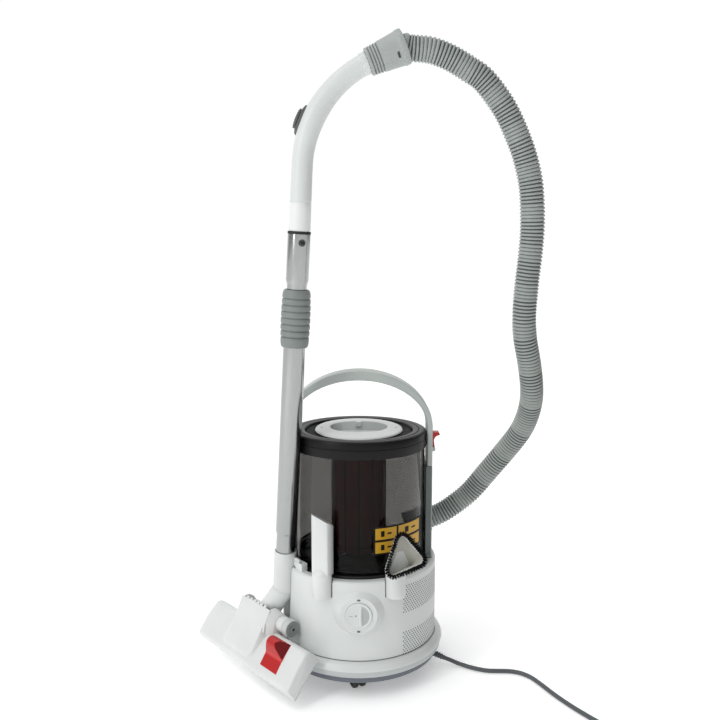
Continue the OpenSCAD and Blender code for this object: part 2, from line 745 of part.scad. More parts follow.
module pivot_axle() color("silver") head() rod_x(-36, 78, [pivot[1], pivot[2]], 4);

module head_wheels() color([0.6, 0.61, 0.61]) head() for (x = [-27, 69]) difference() {
    rod_x(x - 6, x + 6, [pivot[1], pivot[2]], 14.2);
    rod_x(x - 8, x + 8, [pivot[1], pivot[2]], 4 + fit);
}

// Side view of the head's cover, front edge at the origin
module head_side(inset) {
    polygon(concat(
        [[inset, 3.2 - 3.2 * (inset > 0 ? 1 : 0)], [1.5 + inset, 14]],
        arc([12, 17], 10.5 - inset, 170, 105, 6),
        [[30, 29.5 - inset], [54, 31 - inset]],
        arc([head_w - 10, 21], 10 - inset, 80, 10, 6),
        [[head_w - inset, 3.2 - 3.2 * (inset > 0 ? 1 : 0)]]));
}

module head_cover() color("white") head() difference() {
    union() {
        difference() {
            across(-head_l / 2, head_l / 2) head_side(0);
            across(-head_l / 2 + skin, head_l / 2 - skin) head_side(skin);
        }
        difference() {
            across(-46, 36) polygon([[17, 22], [55, 37.6], [88, 50.1], [95, 50.8], [95, 20], [60, 18]]);
            across(-42, 32) polygon([[22, 20], [55, 34], [88, 47.3], [97, 48.2], [97, 10], [60, 10]]);
        }
        for (x = [-46, 32]) across(x, x + 4)
            polygon([[60, 10], [74, 8], [90, 12], [103, 24], [104, 40], [95, 49], [88, 49.4], [60, 38]]);
        for (x = [pedal_x[0] - 4, pedal_x[1] + 1.2]) across(x, x + 2.8) polygon([[36, 15], [48, 15], [50, 28.6], [34, 28.6]]);
        rod_x(pedal_x[0] - 4, pedal_x[1] + 4, [42, 20], 2.5);
    }
    rod_x(-100, 100, [pivot[1], pivot[2]], 4 + fit);
    translate([pedal_x[0] - gap, pedal_y[0] - gap, 24])
        cube([pedal_x[1] - pedal_x[0] + 2 * gap, pedal_y[1] - pedal_y[0] + 2 * gap, 20]);
    rod_x(pivot[0] - 35.4, pivot[0] + 31, [pivot[1], pivot[2]], 19);
    translate([-42, 70, 8]) cube([73, 60, 30]);
}

module head_sole() color([0.8, 0.81, 0.81]) head() difference() {
    translate([-head_l / 2 + 0.3, 0.6, 0]) cube([head_l - 0.6, head_w - 1.2, 3]);
    translate([-100, 28, -1]) cube([200, 14, 6]);
    translate([-126, 8, -1]) cube([252, 6, 6]);
}

module pedal() color("firebrick") head() difference() {
    across(pedal_x[0], pedal_x[1]) polygon(concat([[pedal_y[0], 23], [pedal_y[0], 27.6], [37, 31.5], [43, 33]],
        arc([56, 33.5], 9, 150, 10, 6), [[pedal_y[1], 24], [45, 14.5], [39, 14.5]]));
    rod_x(0, 200, [42, 20], 2.5 + fit);
}

module bristle_strip() color([0.1, 0.1, 0.1]) head() difference() {
    translate([-125, 8.6, 0.8]) cube([250, 4.8, 9]);
    translate([-60, 8, 7]) cube([120, 3, 4]);
}

// ---------- mains cord ----------

module strain_relief() color([0.28, 0.29, 0.3]) cord_exit() difference() {
    union() {
        cylinder(r = 5.55, h = 16);
        translate([0, 0, 16]) cylinder(r1 = 5.55, r2 = 4.6, h = norm(cord_route[0] - [110, -25.4, 28]) - 16);
        translate([0, 0, -12]) cylinder(r = 4.5, h = 13);
    }
    for (i = [0:4]) translate([0, 0, 18 + 4 * i]) ring(8, 4.3, 0, 1.6);
}

module mains_cord() color([0.33, 0.34, 0.35]) swept_tube(smooth(cord_route, 3), cord_r, 10, [0, 0, 1]);

// seventeen turns: five on the floor, then three layers of four on top
module cord_coil() color([0.33, 0.34, 0.35]) translate(coil_at) rotate_extrude() polygon([
    [coil_inner + 2, 0], [coil_low_r - 2, 0], [coil_low_r, 2], [coil_low_r, coil_step - 2],
    [coil_low_r - 2, coil_step], [coil_top_r, coil_step], [coil_top_r, coil_h - 2], [coil_top_r - 2, coil_h],
    [coil_inner + 2, coil_h], [coil_inner, coil_h - 2], [coil_inner, 2]
]);

module mains_plug() color([0.3, 0.31, 0.32]) aim(coil_at + [52.5, -2, 24.5], coil_at + [58, -102, 17.5]) {
    cylinder(r = cord_r, h = 28);
    translate([0, 0, 26]) cylinder(r1 = 4.5, r2 = 6.5, h = 21);
    translate([0, 0, 45]) cylinder(r1 = 12, r2 = 16, h = 22);
    translate([0, 0, 67]) cylinder(r = 17, h = 12);
    for (s = [-1, 1]) translate([0, s * 9.5, 78]) cylinder(r = 2.4, h = 20);
}

// ---------- nodes ----------

base_plate();
base_ring();
body_shell();
side_arms();
handle_pins();
carry_handle();
latch_left();
latch_right();
dial();
rotary_switch();
circuit_board();
bin();
bin_base();
inlet_port();
lid_ring();
filter_cap();
filter_grip();
filter_cage();
filter_core();
motor_can();
motor_rotor();
impeller();
fan_cover();
motor_mounts();
exhaust_filter();
park_bracket();
caster_fork(0);  // caster_fork_front
caster_fork(1);  // caster_fork_right
caster_fork(2);  // caster_fork_back
caster_fork(3);  // caster_fork_left
caster_wheels(0);  // caster_wheels_front
caster_wheels(1);  // caster_wheels_right
caster_wheels(2);  // caster_wheels_back
caster_wheels(3);  // caster_wheels_left
strain_relief();
mains_cord();
cord_coil();
mains_plug();
crevice_tool();
dusting_brush();
brush_bristles();
hose();
port_cuff();
hose_connector();
grip();
suction_slider();
inner_tube();
lock_button();
tube_seal();
lock_collar();
lower_tube();
tube_guide();
nozzle_neck();
nozzle_elbow();
head_cover();
head_sole();
pivot_axle();
head_wheels();
pedal();
bristle_strip();
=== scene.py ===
import math

import bmesh
import bpy
from mathutils import Matrix, Vector


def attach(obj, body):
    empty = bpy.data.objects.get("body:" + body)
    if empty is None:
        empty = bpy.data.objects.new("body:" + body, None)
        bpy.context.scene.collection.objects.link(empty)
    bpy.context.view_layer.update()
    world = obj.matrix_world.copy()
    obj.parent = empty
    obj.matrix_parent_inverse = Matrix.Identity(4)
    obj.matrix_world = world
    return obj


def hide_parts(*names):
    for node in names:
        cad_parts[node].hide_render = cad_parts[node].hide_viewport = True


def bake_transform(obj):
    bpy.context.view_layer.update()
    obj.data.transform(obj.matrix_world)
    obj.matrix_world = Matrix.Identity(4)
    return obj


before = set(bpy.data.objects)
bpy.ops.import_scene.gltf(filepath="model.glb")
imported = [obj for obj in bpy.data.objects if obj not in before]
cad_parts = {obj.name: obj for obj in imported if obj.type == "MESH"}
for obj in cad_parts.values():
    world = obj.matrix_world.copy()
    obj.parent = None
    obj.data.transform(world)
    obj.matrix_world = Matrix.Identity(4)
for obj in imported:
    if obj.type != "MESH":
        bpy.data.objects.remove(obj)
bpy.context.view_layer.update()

MM = 0.001
ROOT = "canister"


# ---------- camera and lights ----------

def make_camera():
    data = bpy.data.cameras.new("camera")
    data.lens = 37.5
    data.sensor_width = 36
    data.clip_end = 50
    camera = bpy.data.objects.new("camera", data)
    camera.location = (0.002, -1.2566, 0.6698)
    camera.rotation_euler = (math.radians(90 - 6.55), 0, 0)
    bpy.context.scene.collection.objects.link(camera)
    bpy.context.scene.camera = camera


def area_light(name, place, target, size, power):
    data = bpy.data.lights.new(name, "AREA")
    data.shape = "RECTANGLE"
    data.size, data.size_y = size
    data.energy = power
    light = bpy.data.objects.new(name, data)
    light.location = place
    light.rotation_euler = (Vector(target) - Vector(place)).to_track_quat("-Z", "Y").to_euler()
    bpy.context.scene.collection.objects.link(light)


def soft_sun(name, place, energy, angle):
    data = bpy.data.lights.new(name, "SUN")
    data.energy = energy
    data.angle = math.radians(angle)
    light = bpy.data.objects.new(name, data)
    light.rotation_euler = (-Vector(place)).to_track_quat("-Z", "Y").to_euler()
    bpy.context.scene.collection.objects.link(light)


def make_world():
    """A white studio that is darker behind the viewer and along the two side walls."""
    world = bpy.data.worlds.new("studio")
    world.use_nodes = True
    nodes, links = world.node_tree.nodes, world.node_tree.links
    back = nodes["Background"]
    back.inputs["Color"].default_value = (1, 1, 1, 1)
    place = nodes.new("ShaderNodeTexCoord")
    split = nodes.new("ShaderNodeSeparateXYZ")
    links.new(place.outputs["Generated"], split.inputs["Vector"])

    def fade(axis, low, high, low_value, high_value):
        step = nodes.new("ShaderNodeMapRange")
        step.interpolation_type = "SMOOTHSTEP"
        step.inputs["From Min"].default_value = low
        step.inputs["From Max"].default_value = high
        step.inputs["To Min"].default_value = low_value
        step.inputs["To Max"].default_value = high_value
        links.new(split.outputs[axis], step.inputs["Value"])
        return step.outputs["Result"]

    def product(one, two):
        times = nodes.new("ShaderNodeMath")
        times.operation = "MULTIPLY"
        links.new(one, times.inputs[0])
        links.new(two, times.inputs[1])
        return times.outputs["Value"]

    depth = fade("Y", -0.75, 0.25, 0.5, 1.02)
    right = fade("X", 0.5, 0.8, 1.0, 0.08)
    left = fade("X", -0.97, -0.72, 0.45, 1.0)
    links.new(product(product(depth, right), left), back.inputs["Strength"])
    bpy.context.scene.world = world
    bpy.context.scene.view_settings.view_transform = "Standard"


make_camera()
area_light("key", (-1.5, -1.4, 1.3), (0, 0, 0.4), (0.35, 1.6), 12)
soft_sun("sun", (-0.4, -0.3, 1.0), 0.5, 30)
make_world()


# ---------- frames, in millimetres ----------

def move(x, y, z):
    return Matrix.Translation((x, y, z))


def turn(axis, degrees):
    return Matrix.Rotation(math.radians(degrees), 4, axis)


FOOT = (-125.1, -54.5, 148.9)
WAND = move(*FOOT) @ turn("Z", -49) @ turn("Y", 5.1)
BEND_AT, BEND_R, BEND_SWEEP = 687, 172, 64
BEND = WAND @ turn("Z", 49) @ move(0, 0, BEND_AT)


def on_bend(degrees):
    return BEND @ move(BEND_R, 0, 0) @ turn("Y", degrees) @ move(-BEND_R, 0, 0)


BEND_END = on_bend(BEND_SWEEP)
HEAD = move(-186.1, -72.6, 16.7) @ turn("Z", -48) @ turn("X", 49)
PIVOT = Vector((0.9, 87.8, 25.4))
INLET = move(122, 56, 232) @ turn("Y", 75)


def tool_spot(side):
    return turn("Z", side * 26) @ move(0, -133, 0)


def aim(start, end):
    start, end = Vector(start), Vector(end)
    return Matrix.Translation(start) @ (end - start).to_track_quat("Z", "Y").to_matrix().to_4x4()


HERE = Matrix.Identity(4)


def letter(s):
    return "l" if s < 0 else "r"


# ---------- materials ----------

def new_material(name, color, roughness, metallic=0.0, specular=0.5):
    material = bpy.data.materials.new(name)
    material.use_nodes = True
    shader = material.node_tree.nodes["Principled BSDF"]
    shader.inputs["Base Color"].default_value = (*color, 1)
    shader.inputs["Roughness"].default_value = roughness
    shader.inputs["Metallic"].default_value = metallic
    shader.inputs["Specular IOR Level"].default_value = specular
    material.diffuse_color = (*color, 1)
    return material, material.node_tree.nodes, material.node_tree.links, shader


def noise_node(nodes, links, scale, detail=3.0, stretch=(1, 1, 1)):
    place = nodes.new("ShaderNodeTexCoord")
    mapping = nodes.new("ShaderNodeMapping")
    mapping.inputs["Scale"].default_value = stretch
    noise = nodes.new("ShaderNodeTexNoise")
    noise.inputs["Scale"].default_value = scale
    noise.inputs["Detail"].default_value = detail
    links.new(place.outputs["Object"], mapping.inputs["Vector"])
    links.new(mapping.outputs["Vector"], noise.inputs["Vector"])
    return noise


def ramp_between(nodes, links, source, low, high, positions=(0.35, 0.65)):
    ramp = nodes.new("ShaderNodeValToRGB")
    ramp.color_ramp.elements[0].position = positions[0]
    ramp.color_ramp.elements[0].color = (*low, 1)
    ramp.color_ramp.elements[1].position = positions[1]
    ramp.color_ramp.elements[1].color = (*high, 1)
    links.new(source, ramp.inputs["Fac"])
    return ramp


def add_bump(nodes, links, shader, source, strength, distance):
    bump = nodes.new("ShaderNodeBump")
    bump.inputs["Strength"].default_value = strength
    bump.inputs["Distance"].default_value = distance
    links.new(source, bump.inputs["Height"])
    links.new(bump.outputs["Normal"], shader.inputs["Normal"])


def plastic(name, color, roughness=0.35, grain=0.15, vary=0.04, specular=0.5):
    """Moulded plastic: a fine spark-eroded grain, slight colour drift and uneven gloss."""
    material, nodes, links, shader = new_material(name, color, roughness, specular=specular)
    drift = noise_node(nodes, links, 9, 2)
    dark = tuple(c * (1 - vary) for c in color)
    light = tuple(min(1, c * (1 + vary)) for c in color)
    links.new(ramp_between(nodes, links, drift.outputs["Fac"], dark, light).outputs["Color"],
              shader.inputs["Base Color"])
    fine = noise_node(nodes, links, 1800, 2)
    gloss = nodes.new("ShaderNodeMapRange")
    gloss.inputs["To Min"].default_value = roughness * 0.85
    gloss.inputs["To Max"].default_value = min(1, roughness * 1.2)
    links.new(drift.outputs["Fac"], gloss.inputs["Value"])
    links.new(gloss.outputs["Result"], shader.inputs["Roughness"])
    add_bump(nodes, links, shader, fine.outputs["Fac"], grain, 0.0002)
    return material


def brushed_metal(name, color, roughness=0.3):
    """Drawn tube: fine streaks along the tube in colour and gloss."""
    material, nodes, links, shader = new_material(name, color, roughness, metallic=1.0)
    streaks = noise_node(nodes, links, 900, 3, stretch=(1, 1, 0.02))
    dark = tuple(c * 0.92 for c in color)
    links.new(ramp_between(nodes, links, streaks.outputs["Fac"], dark, color).outputs["Color"],
              shader.inputs["Base Color"])
    gloss = nodes.new("ShaderNodeMapRange")
    gloss.inputs["To Min"].default_value = roughness * 0.8
    gloss.inputs["To Max"].default_value = roughness * 1.3
    links.new(streaks.outputs["Fac"], gloss.inputs["Value"])
    links.new(gloss.outputs["Result"], shader.inputs["Roughness"])
    add_bump(nodes, links, shader, streaks.outputs["Fac"], 0.03, 0.0001)
    return material


def smoked(name, color):
    """Tinted clear plastic, seen through, with a smooth skin and a slight drift in its tint."""
    material, nodes, links, shader = new_material(name, color, 0.0)
    shader.inputs["Transmission Weight"].default_value = 1.0
    shader.inputs["IOR"].default_value = 1.2
    dust = noise_node(nodes, links, 60, 4)
    dark = tuple(c * 0.94 for c in color)
    links.new(ramp_between(nodes, links, dust.outputs["Fac"], dark, color).outputs["Color"],
              shader.inputs["Base Color"])
    return material


def pleated(name, color):
    """Filter paper: rough, with fibres. The folds are in the mesh."""
    material, nodes, links, shader = new_material(name, color, 0.9)
    fibres = noise_node(nodes, links, 700, 5)
    dark = tuple(c * 0.6 for c in color)
    links.new(ramp_between(nodes, links, fibres.outputs["Fac"], dark, color).outputs["Color"],
              shader.inputs["Base Color"])
    add_bump(nodes, links, shader, fibres.outputs["Fac"], 0.4, 0.0004)
    return material


WHITE = plastic("white_shell", (0.67, 0.695, 0.685), 0.38)
WHITE_TOOL = plastic("white_tool", (0.69, 0.71, 0.70), 0.35)
GRIP_WHITE = plastic("grip_white", (0.66, 0.69, 0.68), 0.4)
GRIP_LOW = plastic("grip_low", (0.78, 0.80, 0.79), 0.4)
HANDLE = plastic("handle_grey", (0.44, 0.48, 0.46), 0.4)
ARM = plastic("arm_grey", (0.13, 0.155, 0.15), 0.42)
ARM_EDGE = plastic("arm_edge", (0.36, 0.40, 0.385), 0.4)
BASE_DARK = plastic("base_dark", (0.15, 0.165, 0.19), 0.5, specular=0.3)
# A darker copy of the white: painted shade on the underside of the ring's bulge.
RING_UNDERSIDE_SHADE = plastic("ring_underside_shade", (0.50, 0.53, 0.53), 0.42)
RED = plastic("red", (0.46, 0.012, 0.012), 0.3, specular=0.4)
# A lighter copy of the red: a painted highlight on the latch tops and the pedal's heel.
RED_HIGHLIGHT = plastic("red_painted_highlight", (0.56, 0.03, 0.028), 0.32, specular=0.4)
# A darker copy of the red: painted shade on the pedal's facet.
RED_SHADE = plastic("red_painted_shade", (0.13, 0.004, 0.006), 0.5, specular=0.1)
DIAL_GREY = plastic("dial_grey", (0.66, 0.69, 0.68), 0.36)
# A grey used only as painted shade, on the filter grip's recess wall and on the dial's right half.
SHADE_GREY = plastic("painted_shade_grey", (0.42, 0.45, 0.44), 0.42)
MARK = plastic("mark", (0.10, 0.11, 0.115), 0.5)
MARK_FAINT = plastic("mark_faint", (0.42, 0.45, 0.44), 0.5)
BLACK = plastic("black", (0.012, 0.0125, 0.013), 0.42, specular=0.35)
LID_BLACK = plastic("lid_black", (0.0045, 0.0045, 0.0048), 0.38, specular=0.22)
LID_GROOVE = plastic("lid_groove", (0.012, 0.0125, 0.013), 0.5, specular=0.25)
INNER_BLACK = plastic("inner_black", (0.0045, 0.0042, 0.0042), 0.5, specular=0.15)
SMOKED = smoked("smoked", (0.29, 0.287, 0.278))
CAGE_TINT = plastic("cage_tint", (0.16, 0.016, 0.010), 0.4, 0.1, 0.3, specular=0.3)
FILTER_RED = pleated("filter_red", (0.10, 0.022, 0.014))
FILTER_GREY = pleated("filter_grey", (0.2, 0.22, 0.22))
STEEL = brushed_metal("steel_pin", (0.6, 0.6, 0.62))
TUBE = brushed_metal("tube_metal", (0.40, 0.415, 0.41), 0.19)
RUBBER = plastic("rubber", (0.012, 0.012, 0.013), 0.65, 0.3)
CORD = plastic("cord_grey", (0.085, 0.095, 0.10), 0.5, 0.2)
HOSE = plastic("hose_grey", (0.33, 0.36, 0.345), 0.36)
# Darker grey for the hose's grooves: painted shade in the folds between the ribs.
HOSE_GROOVE_SHADE = plastic("hose_groove_shade", (0.11, 0.125, 0.12), 0.5)
COLLAR = plastic("collar_grey", (0.215, 0.24, 0.232), 0.5, 0.3)
CONNECTOR = plastic("connector_grey", (0.36, 0.39, 0.375), 0.42)
CONNECTOR_LIP = plastic("connector_lip", (0.5, 0.53, 0.52), 0.4)
SLIDER = plastic("slider_grey", (0.10, 0.108, 0.108), 0.45)
BRISTLE = plastic("bristle", (0.006, 0.006, 0.006), 0.6, 0.4, specular=0.2)
CREAM = plastic("brush_inside", (0.50, 0.50, 0.45), 0.5)
WHEEL_GREY = plastic("wheel_grey", (0.52, 0.55, 0.545), 0.4)
WHEEL_FACE = plastic("wheel_face", (0.25, 0.27, 0.265), 0.45)
WHEEL_BLACK = plastic("wheel_black", (0.012, 0.012, 0.013), 0.45, 0.3)
SOLE = plastic("sole_grey", (0.62, 0.64, 0.64), 0.45)
LABEL = plastic("label_yellow", (0.60, 0.33, 0.012), 0.45)
LABEL_INK = plastic("label_ink", (0.008, 0.0075, 0.006), 0.5, specular=0.2)
# Near-black painted shade for the seam gap, the vent holes, the button's gap and the hose end's slot.
SHADOW = plastic("painted_shade_dark", (0.05, 0.055, 0.055), 0.7)
COPPER = brushed_metal("copper", (0.6, 0.33, 0.16))
BOARD = plastic("board", (0.02, 0.14, 0.06), 0.5)


# ---------- mesh helpers ----------

def add_object(name, verts, faces, material, body, place=HERE, smooth=True, sharp=40, slots=None,
               face_slots=None):
    """A mesh in millimetres in the frame place, riding on body."""
    mesh = bpy.data.meshes.new(name)
    mesh.from_pydata([(place @ Vector(v)) * MM for v in verts], [], faces)
    for one in slots or [material]:
        mesh.materials.append(one)
    if face_slots:
        for polygon, index in zip(mesh.polygons, face_slots):
            polygon.material_index = index
    mesh.validate()
    mesh.update()
    work = bmesh.new()
    work.from_mesh(mesh)
    bmesh.ops.recalc_face_normals(work, faces=work.faces)
    work.to_mesh(mesh)
    work.free()
    obj = bpy.data.objects.new(name, mesh)
    bpy.context.scene.collection.objects.link(obj)
    if smooth:
        mesh.polygons.foreach_set("use_smooth", [True] * len(mesh.polygons))
        mesh.set_sharp_from_angle(angle=math.radians(sharp))
    if body:
        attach(obj, body)
    return obj


def bevelled(obj, width):
    bevel = obj.modifiers.new("bevel", "BEVEL")
    bevel.width = width * MM
    bevel.segments = 3
    bevel.limit_method = "ANGLE"
    bevel.angle_limit = math.radians(30)


def arc_points(cx, cy, radius, first, stop, step):
    """Points on a circle, for every step degrees from first up to stop."""
    angles = [math.radians(d) for d in range(first, stop, step)]
    return [(cx + radius * math.cos(a), cy + radius * math.sin(a)) for a in angles]


def rounded(points, radius):
    """The closed outline with each corner cut by a small curve."""
    count, steps = len(points), 4
    result = []
    for i, p in enumerate(points):
        p, a, b = Vector(p), Vector(points[i - 1]), Vector(points[(i + 1) % count])
        ua, ub = (a - p), (b - p)
        cut = min(radius, ua.length * 0.45, ub.length * 0.45)
        start, end = p + ua.normalized() * cut, p + ub.normalized() * cut
        for k in range(steps + 1):
            t = k / steps
            result.append(tuple((1 - t) ** 2 * start + 2 * t * (1 - t) * p + t * t * end))
    return result


def lathe(name, profile, material, body, place=HERE, segments=128, sharp=40, arc=None, slots=None,
          slot_of=None):
    """Turns (r, z) points about Z. slot_of(i) gives the material slot of the band after point i."""
    turns = segments if arc is None else segments + 1
    span = 2 * math.pi if arc is None else math.radians(arc[1] - arc[0])
    first = 0 if arc is None else math.radians(arc[0])
    verts, faces, face_slots = [], [], []
    n = len(profile)
    for k in range(turns):
        a = first + span * k / segments
        verts += [(r * math.cos(a), r * math.sin(a), z) for r, z in profile]
    for k in range(segments):
        m = (k + 1) % turns
        for i in range(n):
            j = (i + 1) % n
            if profile[i][0] < 1e-6 and profile[j][0] < 1e-6:
                continue
            faces.append((k * n + i, m * n + i, m * n + j, k * n + j))
            face_slots.append(slot_of(i) if slot_of else 0)
    obj = add_object(name, verts, faces, material, body, place, True, sharp, slots, face_slots)
    work = bmesh.new()
    work.from_mesh(obj.data)
    bmesh.ops.remove_doubles(work, verts=work.verts, dist=1e-7)
    bmesh.ops.recalc_face_normals(work, faces=work.faces)
    work.to_mesh(obj.data)
    work.free()
    obj.data.set_sharp_from_angle(angle=math.radians(sharp))
    return obj


def prism(name, outline, low, high, material, body, place=HERE, bevel=0.6, sharp=35):
    """The outline in x and y, pulled up from low to high, with rounded edges."""
    n = len(outline)
    verts = [(x, y, low) for x, y in outline] + [(x, y, high) for x, y in outline]
    faces = [tuple(reversed(range(n))), tuple(range(n, 2 * n))]
    faces += [(i, (i + 1) % n, n + (i + 1) % n, n + i) for i in range(n)]
    obj = add_object(name, verts, faces, material, body, place, True, sharp)
    if bevel:
        bevelled(obj, bevel)
    return obj


# a drawing in the y-z plane becomes a block along x
ACROSS = turn("Z", 90) @ turn("X", 90)


def ring_loft(name, rings, material, body, place=HERE, caps=True, sharp=45, slots=None, slot_of=None):
    """Joins rings of points with the same count, one after the other."""
    n = len(rings[0])
    verts = [p for one in rings for p in one]
    faces, face_slots = [], []
    for k in range(len(rings) - 1):
        for i in range(n):
            j = (i + 1) % n
            faces.append((k * n + i, k * n + j, (k + 1) * n + j, (k + 1) * n + i))
            face_slots.append(slot_of(k, i) if slot_of else 0)
    if caps:
        faces.append(tuple(reversed(range(n))))
        faces.append(tuple(range((len(rings) - 1) * n, len(rings) * n)))
        face_slots += [0, 0]
    return add_object(name, verts, faces, material, body, place, True, sharp, slots, face_slots)


def tube_rings(path, radii, sides, side):
    """Round rings along a path; side is a direction the path never follows."""
    rings = []
    side = Vector(side)
    for i, p in enumerate(path):
        d = (Vector(path[min(i + 1, len(path) - 1)]) - Vector(path[max(i - 1, 0)])).normalized()
        u = d.cross(side).normalized()
        v = u.cross(d)
        r = radii[i] if isinstance(radii, (list, tuple)) else radii
        rings.append([tuple(Vector(p) + r * (math.cos(t) * u + math.sin(t) * v))
                      for t in (2 * math.pi * k / sides for k in range(sides))])
    return rings


def curve_point(p0, p1, p2, p3, t):
    return 0.5 * (2 * p1 + (p2 - p0) * t + (2 * p0 - 5 * p1 + 4 * p2 - p3) * t * t
                  + (3 * p1 - p0 - 3 * p2 + p3) * t * t * t)


def smooth_route(route, steps):
    route = [Vector(p) for p in route]
    result = []
    for i in range(len(route) - 1):
        before = route[i - 1] if i else 2 * route[0] - route[1]
        after = route[i + 2] if i < len(route) - 2 else 2 * route[-1] - route[-2]
        result += [curve_point(before, route[i], route[i + 1], after, k / steps) for k in range(steps)]
    return result + [route[-1]]


def route_length(points):
    return sum((b - a).length for a, b in zip(points, points[1:]))


def respaced(points, gap):
    """The same line with points every gap millimetres."""
    total = route_length(points)
    count = max(2, round(total / gap))
    result, i, run = [points[0]], 0, 0.0
    for k in range(1, count):
        want = total * k / count
        while run + (points[i + 1] - points[i]).length < want:
            run += (points[i + 1] - points[i]).length
            i += 1
        step = points[i + 1] - points[i]
        result.append(points[i] + step * ((want - run) / step.length))
    return result + [points[-1]]


# ---------- cords: the hose and the mains cord ----------

HOSE_ROUTE = [
    (42.6, -111.4, 990.7), (64.7, -112.1, 1000), (78, -111.2, 998.6), (106, -110, 996), (134, -108, 986.5),
    (162, -106, 971),
    (187, -104, 954), (219, -100, 914), (243, -96, 867), (256, -92, 832), (264, -89, 795),
    (268, -83, 743), (267, -78, 700), (264, -72, 655), (263, -64, 606), (267, -56, 568),
    (277, -45, 527), (285, -32, 488), (288, -18, 458), (286, 0, 428), (277, 17, 397),
    (254, 38, 356), (228, 51, 318), (200, 58, 281), (168, 57.5, 254.5), (147, 56.5, 241.5), (131, 56, 234.7),
    (117.2, 56, 230.7)]
CORD_ROUTE = [
    (147, -31, 13), (158, -33, 9.5), (170, -37, 6), (184, -43, 4), (200, -51, 3.6), (218, -57, 3.5),
    (238, -58, 3.5), (256, -59, 3.5), (272, -65, 3.5), (286, -78, 3.5), (298, -100, 3.5),
    (312, -130, 3.5), (330, -162, 3.5), (350, -192, 3.5), (372, -222, 3.5), (392, -256, 3.5),
    (402, -286, 3.5), (404.5, -308, 3.5)]
COIL_AT = (345, -308)
CORD_R = 3.5


def make_hose():
    line = respaced(smooth_route(HOSE_ROUTE, 12), 1.1)
    pitch = 5.6
    heights = [0.5 + 0.5 * math.cos(2 * math.pi * i * 1.1 / pitch) for i in range(len(line))]
    radii = [16.6 + 2.4 * min(1, 1.5 * h) ** 0.8 for h in heights]
    rings = tube_rings(line, radii, 36, (0, 1, 0))
    # Faces near the bottom of each groove take the second slot: painted shade.
    hose = ring_loft("hose_tube", rings, HOSE, None, sharp=80, slots=[HOSE, HOSE_GROOVE_SHADE],
                     slot_of=lambda k, i: 1 if heights[k] + heights[k + 1] < 0.55 else 0)
    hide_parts("hose")
    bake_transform(hose)


def coil_path():
    """Four flat layers of the coil, the lowest one a turn wider, wound in, out, in and out."""
    gap = 2 * CORD_R
    inner = 4.5 * gap
    slots = [(inner + (4 - i) * gap, CORD_R) for i in range(5)]
    slots += [(inner + i * gap, CORD_R + gap) for i in range(4)]
    slots += [(inner + (3 - i) * gap, CORD_R + 2 * gap) for i in range(4)]
    slots += [(inner + i * gap, CORD_R + 3 * gap) for i in range(4)]
    steps = 36
    points = []
    for i, (r, z) in enumerate(slots):
        r_next, z_next = slots[i + 1] if i + 1 < len(slots) else (r, z)
        for k in range(steps):
            t = max(0.0, (k / steps - 0.75) / 0.25)
            t = t * t * (3 - 2 * t)
            a = -2 * math.pi * k / steps
            radius = r + (r_next - r) * t
            points.append(Vector((COIL_AT[0] + radius * math.cos(a), COIL_AT[1] + radius * math.sin(a),
                                  z + (z_next - z) * t)))
    return points


def make_cord():
    line = respaced(smooth_route(CORD_ROUTE, 6)[:-1], 6) + coil_path()
    line += [Vector((397.5, -308, 24.5)), Vector((397.7, -313, 24.2)), Vector((398.1, -322, 23.6)),
             Vector((398.6, -331, 22.9))]
    data = bpy.data.curves.new("mains_flex", "CURVE")
    data.dimensions = "3D"
    data.bevel_depth = CORD_R * MM
    data.bevel_resolution = 4
    data.use_fill_caps = True
    spline = data.splines.new("POLY")
    spline.points.add(len(line) - 1)
    for point, p in zip(spline.points, line):
        point.co = (*(p * MM), 1)
    spline.use_smooth = True
    data.materials.append(CORD)
    flex = bpy.data.objects.new("mains_flex", data)
    bpy.context.scene.collection.objects.link(flex)
    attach(flex, ROOT)
    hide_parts("mains_cord", "cord_coil")


make_hose()
make_cord()


# ---------- base ----------

def cad(node, material):
    """Shows the CAD node with a finished material."""
    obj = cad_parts[node]
    obj.data.materials.clear()
    obj.data.materials.append(material)
    return obj


def replace(obj, *nodes, slot=None):
    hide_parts(*nodes)
    return obj


cad("base_plate", BASE_DARK)


def make_base_ring():
    profile = [(128.8, 36)] + arc_points(136.5, 43, 7, -90, -9, 10)
    split = len(profile)
    profile += arc_points(132.5, 47, 12, 5, 76, 7)
    profile += [(133.6, 59.8), (132.4, 60.0), (132.2, 59.0), (132.2, 48.4), (128.8, 48.4)]
    # The bulge's lower curve, up to split, takes the darker grey: painted shade on its underside.
    return replace(lathe("ring_bulge", profile, WHITE, ROOT, arc=(-7, 341), segments=240,
                         slots=[WHITE, RING_UNDERSIDE_SHADE],
                         slot_of=lambda i: 1 if i < split else 0, sharp=50), "base_ring", slot="white_shell")


def make_ring_notch():
    """The short stretch of ring over the cord's way out."""
    profile = [(128.8, 43)] + arc_points(140.5, 46, 3, -90, 1, 15)
    profile += arc_points(132.5, 47, 12, 12, 76, 7)
    profile += [(133.6, 59.8), (132.2, 59.0), (132.2, 48.4), (128.8, 48.4)]
    obj = lathe("ring_notch", profile, WHITE, ROOT, arc=(-19, -7), segments=12, sharp=50)
    return obj


def make_base_skirt():
    """The dark lower edge of the base, open where the cord leaves."""
    profile = [(129, 36.3), (136, 36.3), (135.2, 27), (133, 25.2), (128.6, 25.2), (128.4, 30)]
    obj = lathe("base_skirt", profile, BASE_DARK, ROOT, arc=(-7, 341), segments=240, sharp=50)


make_base_ring()
make_ring_notch()
make_base_skirt()


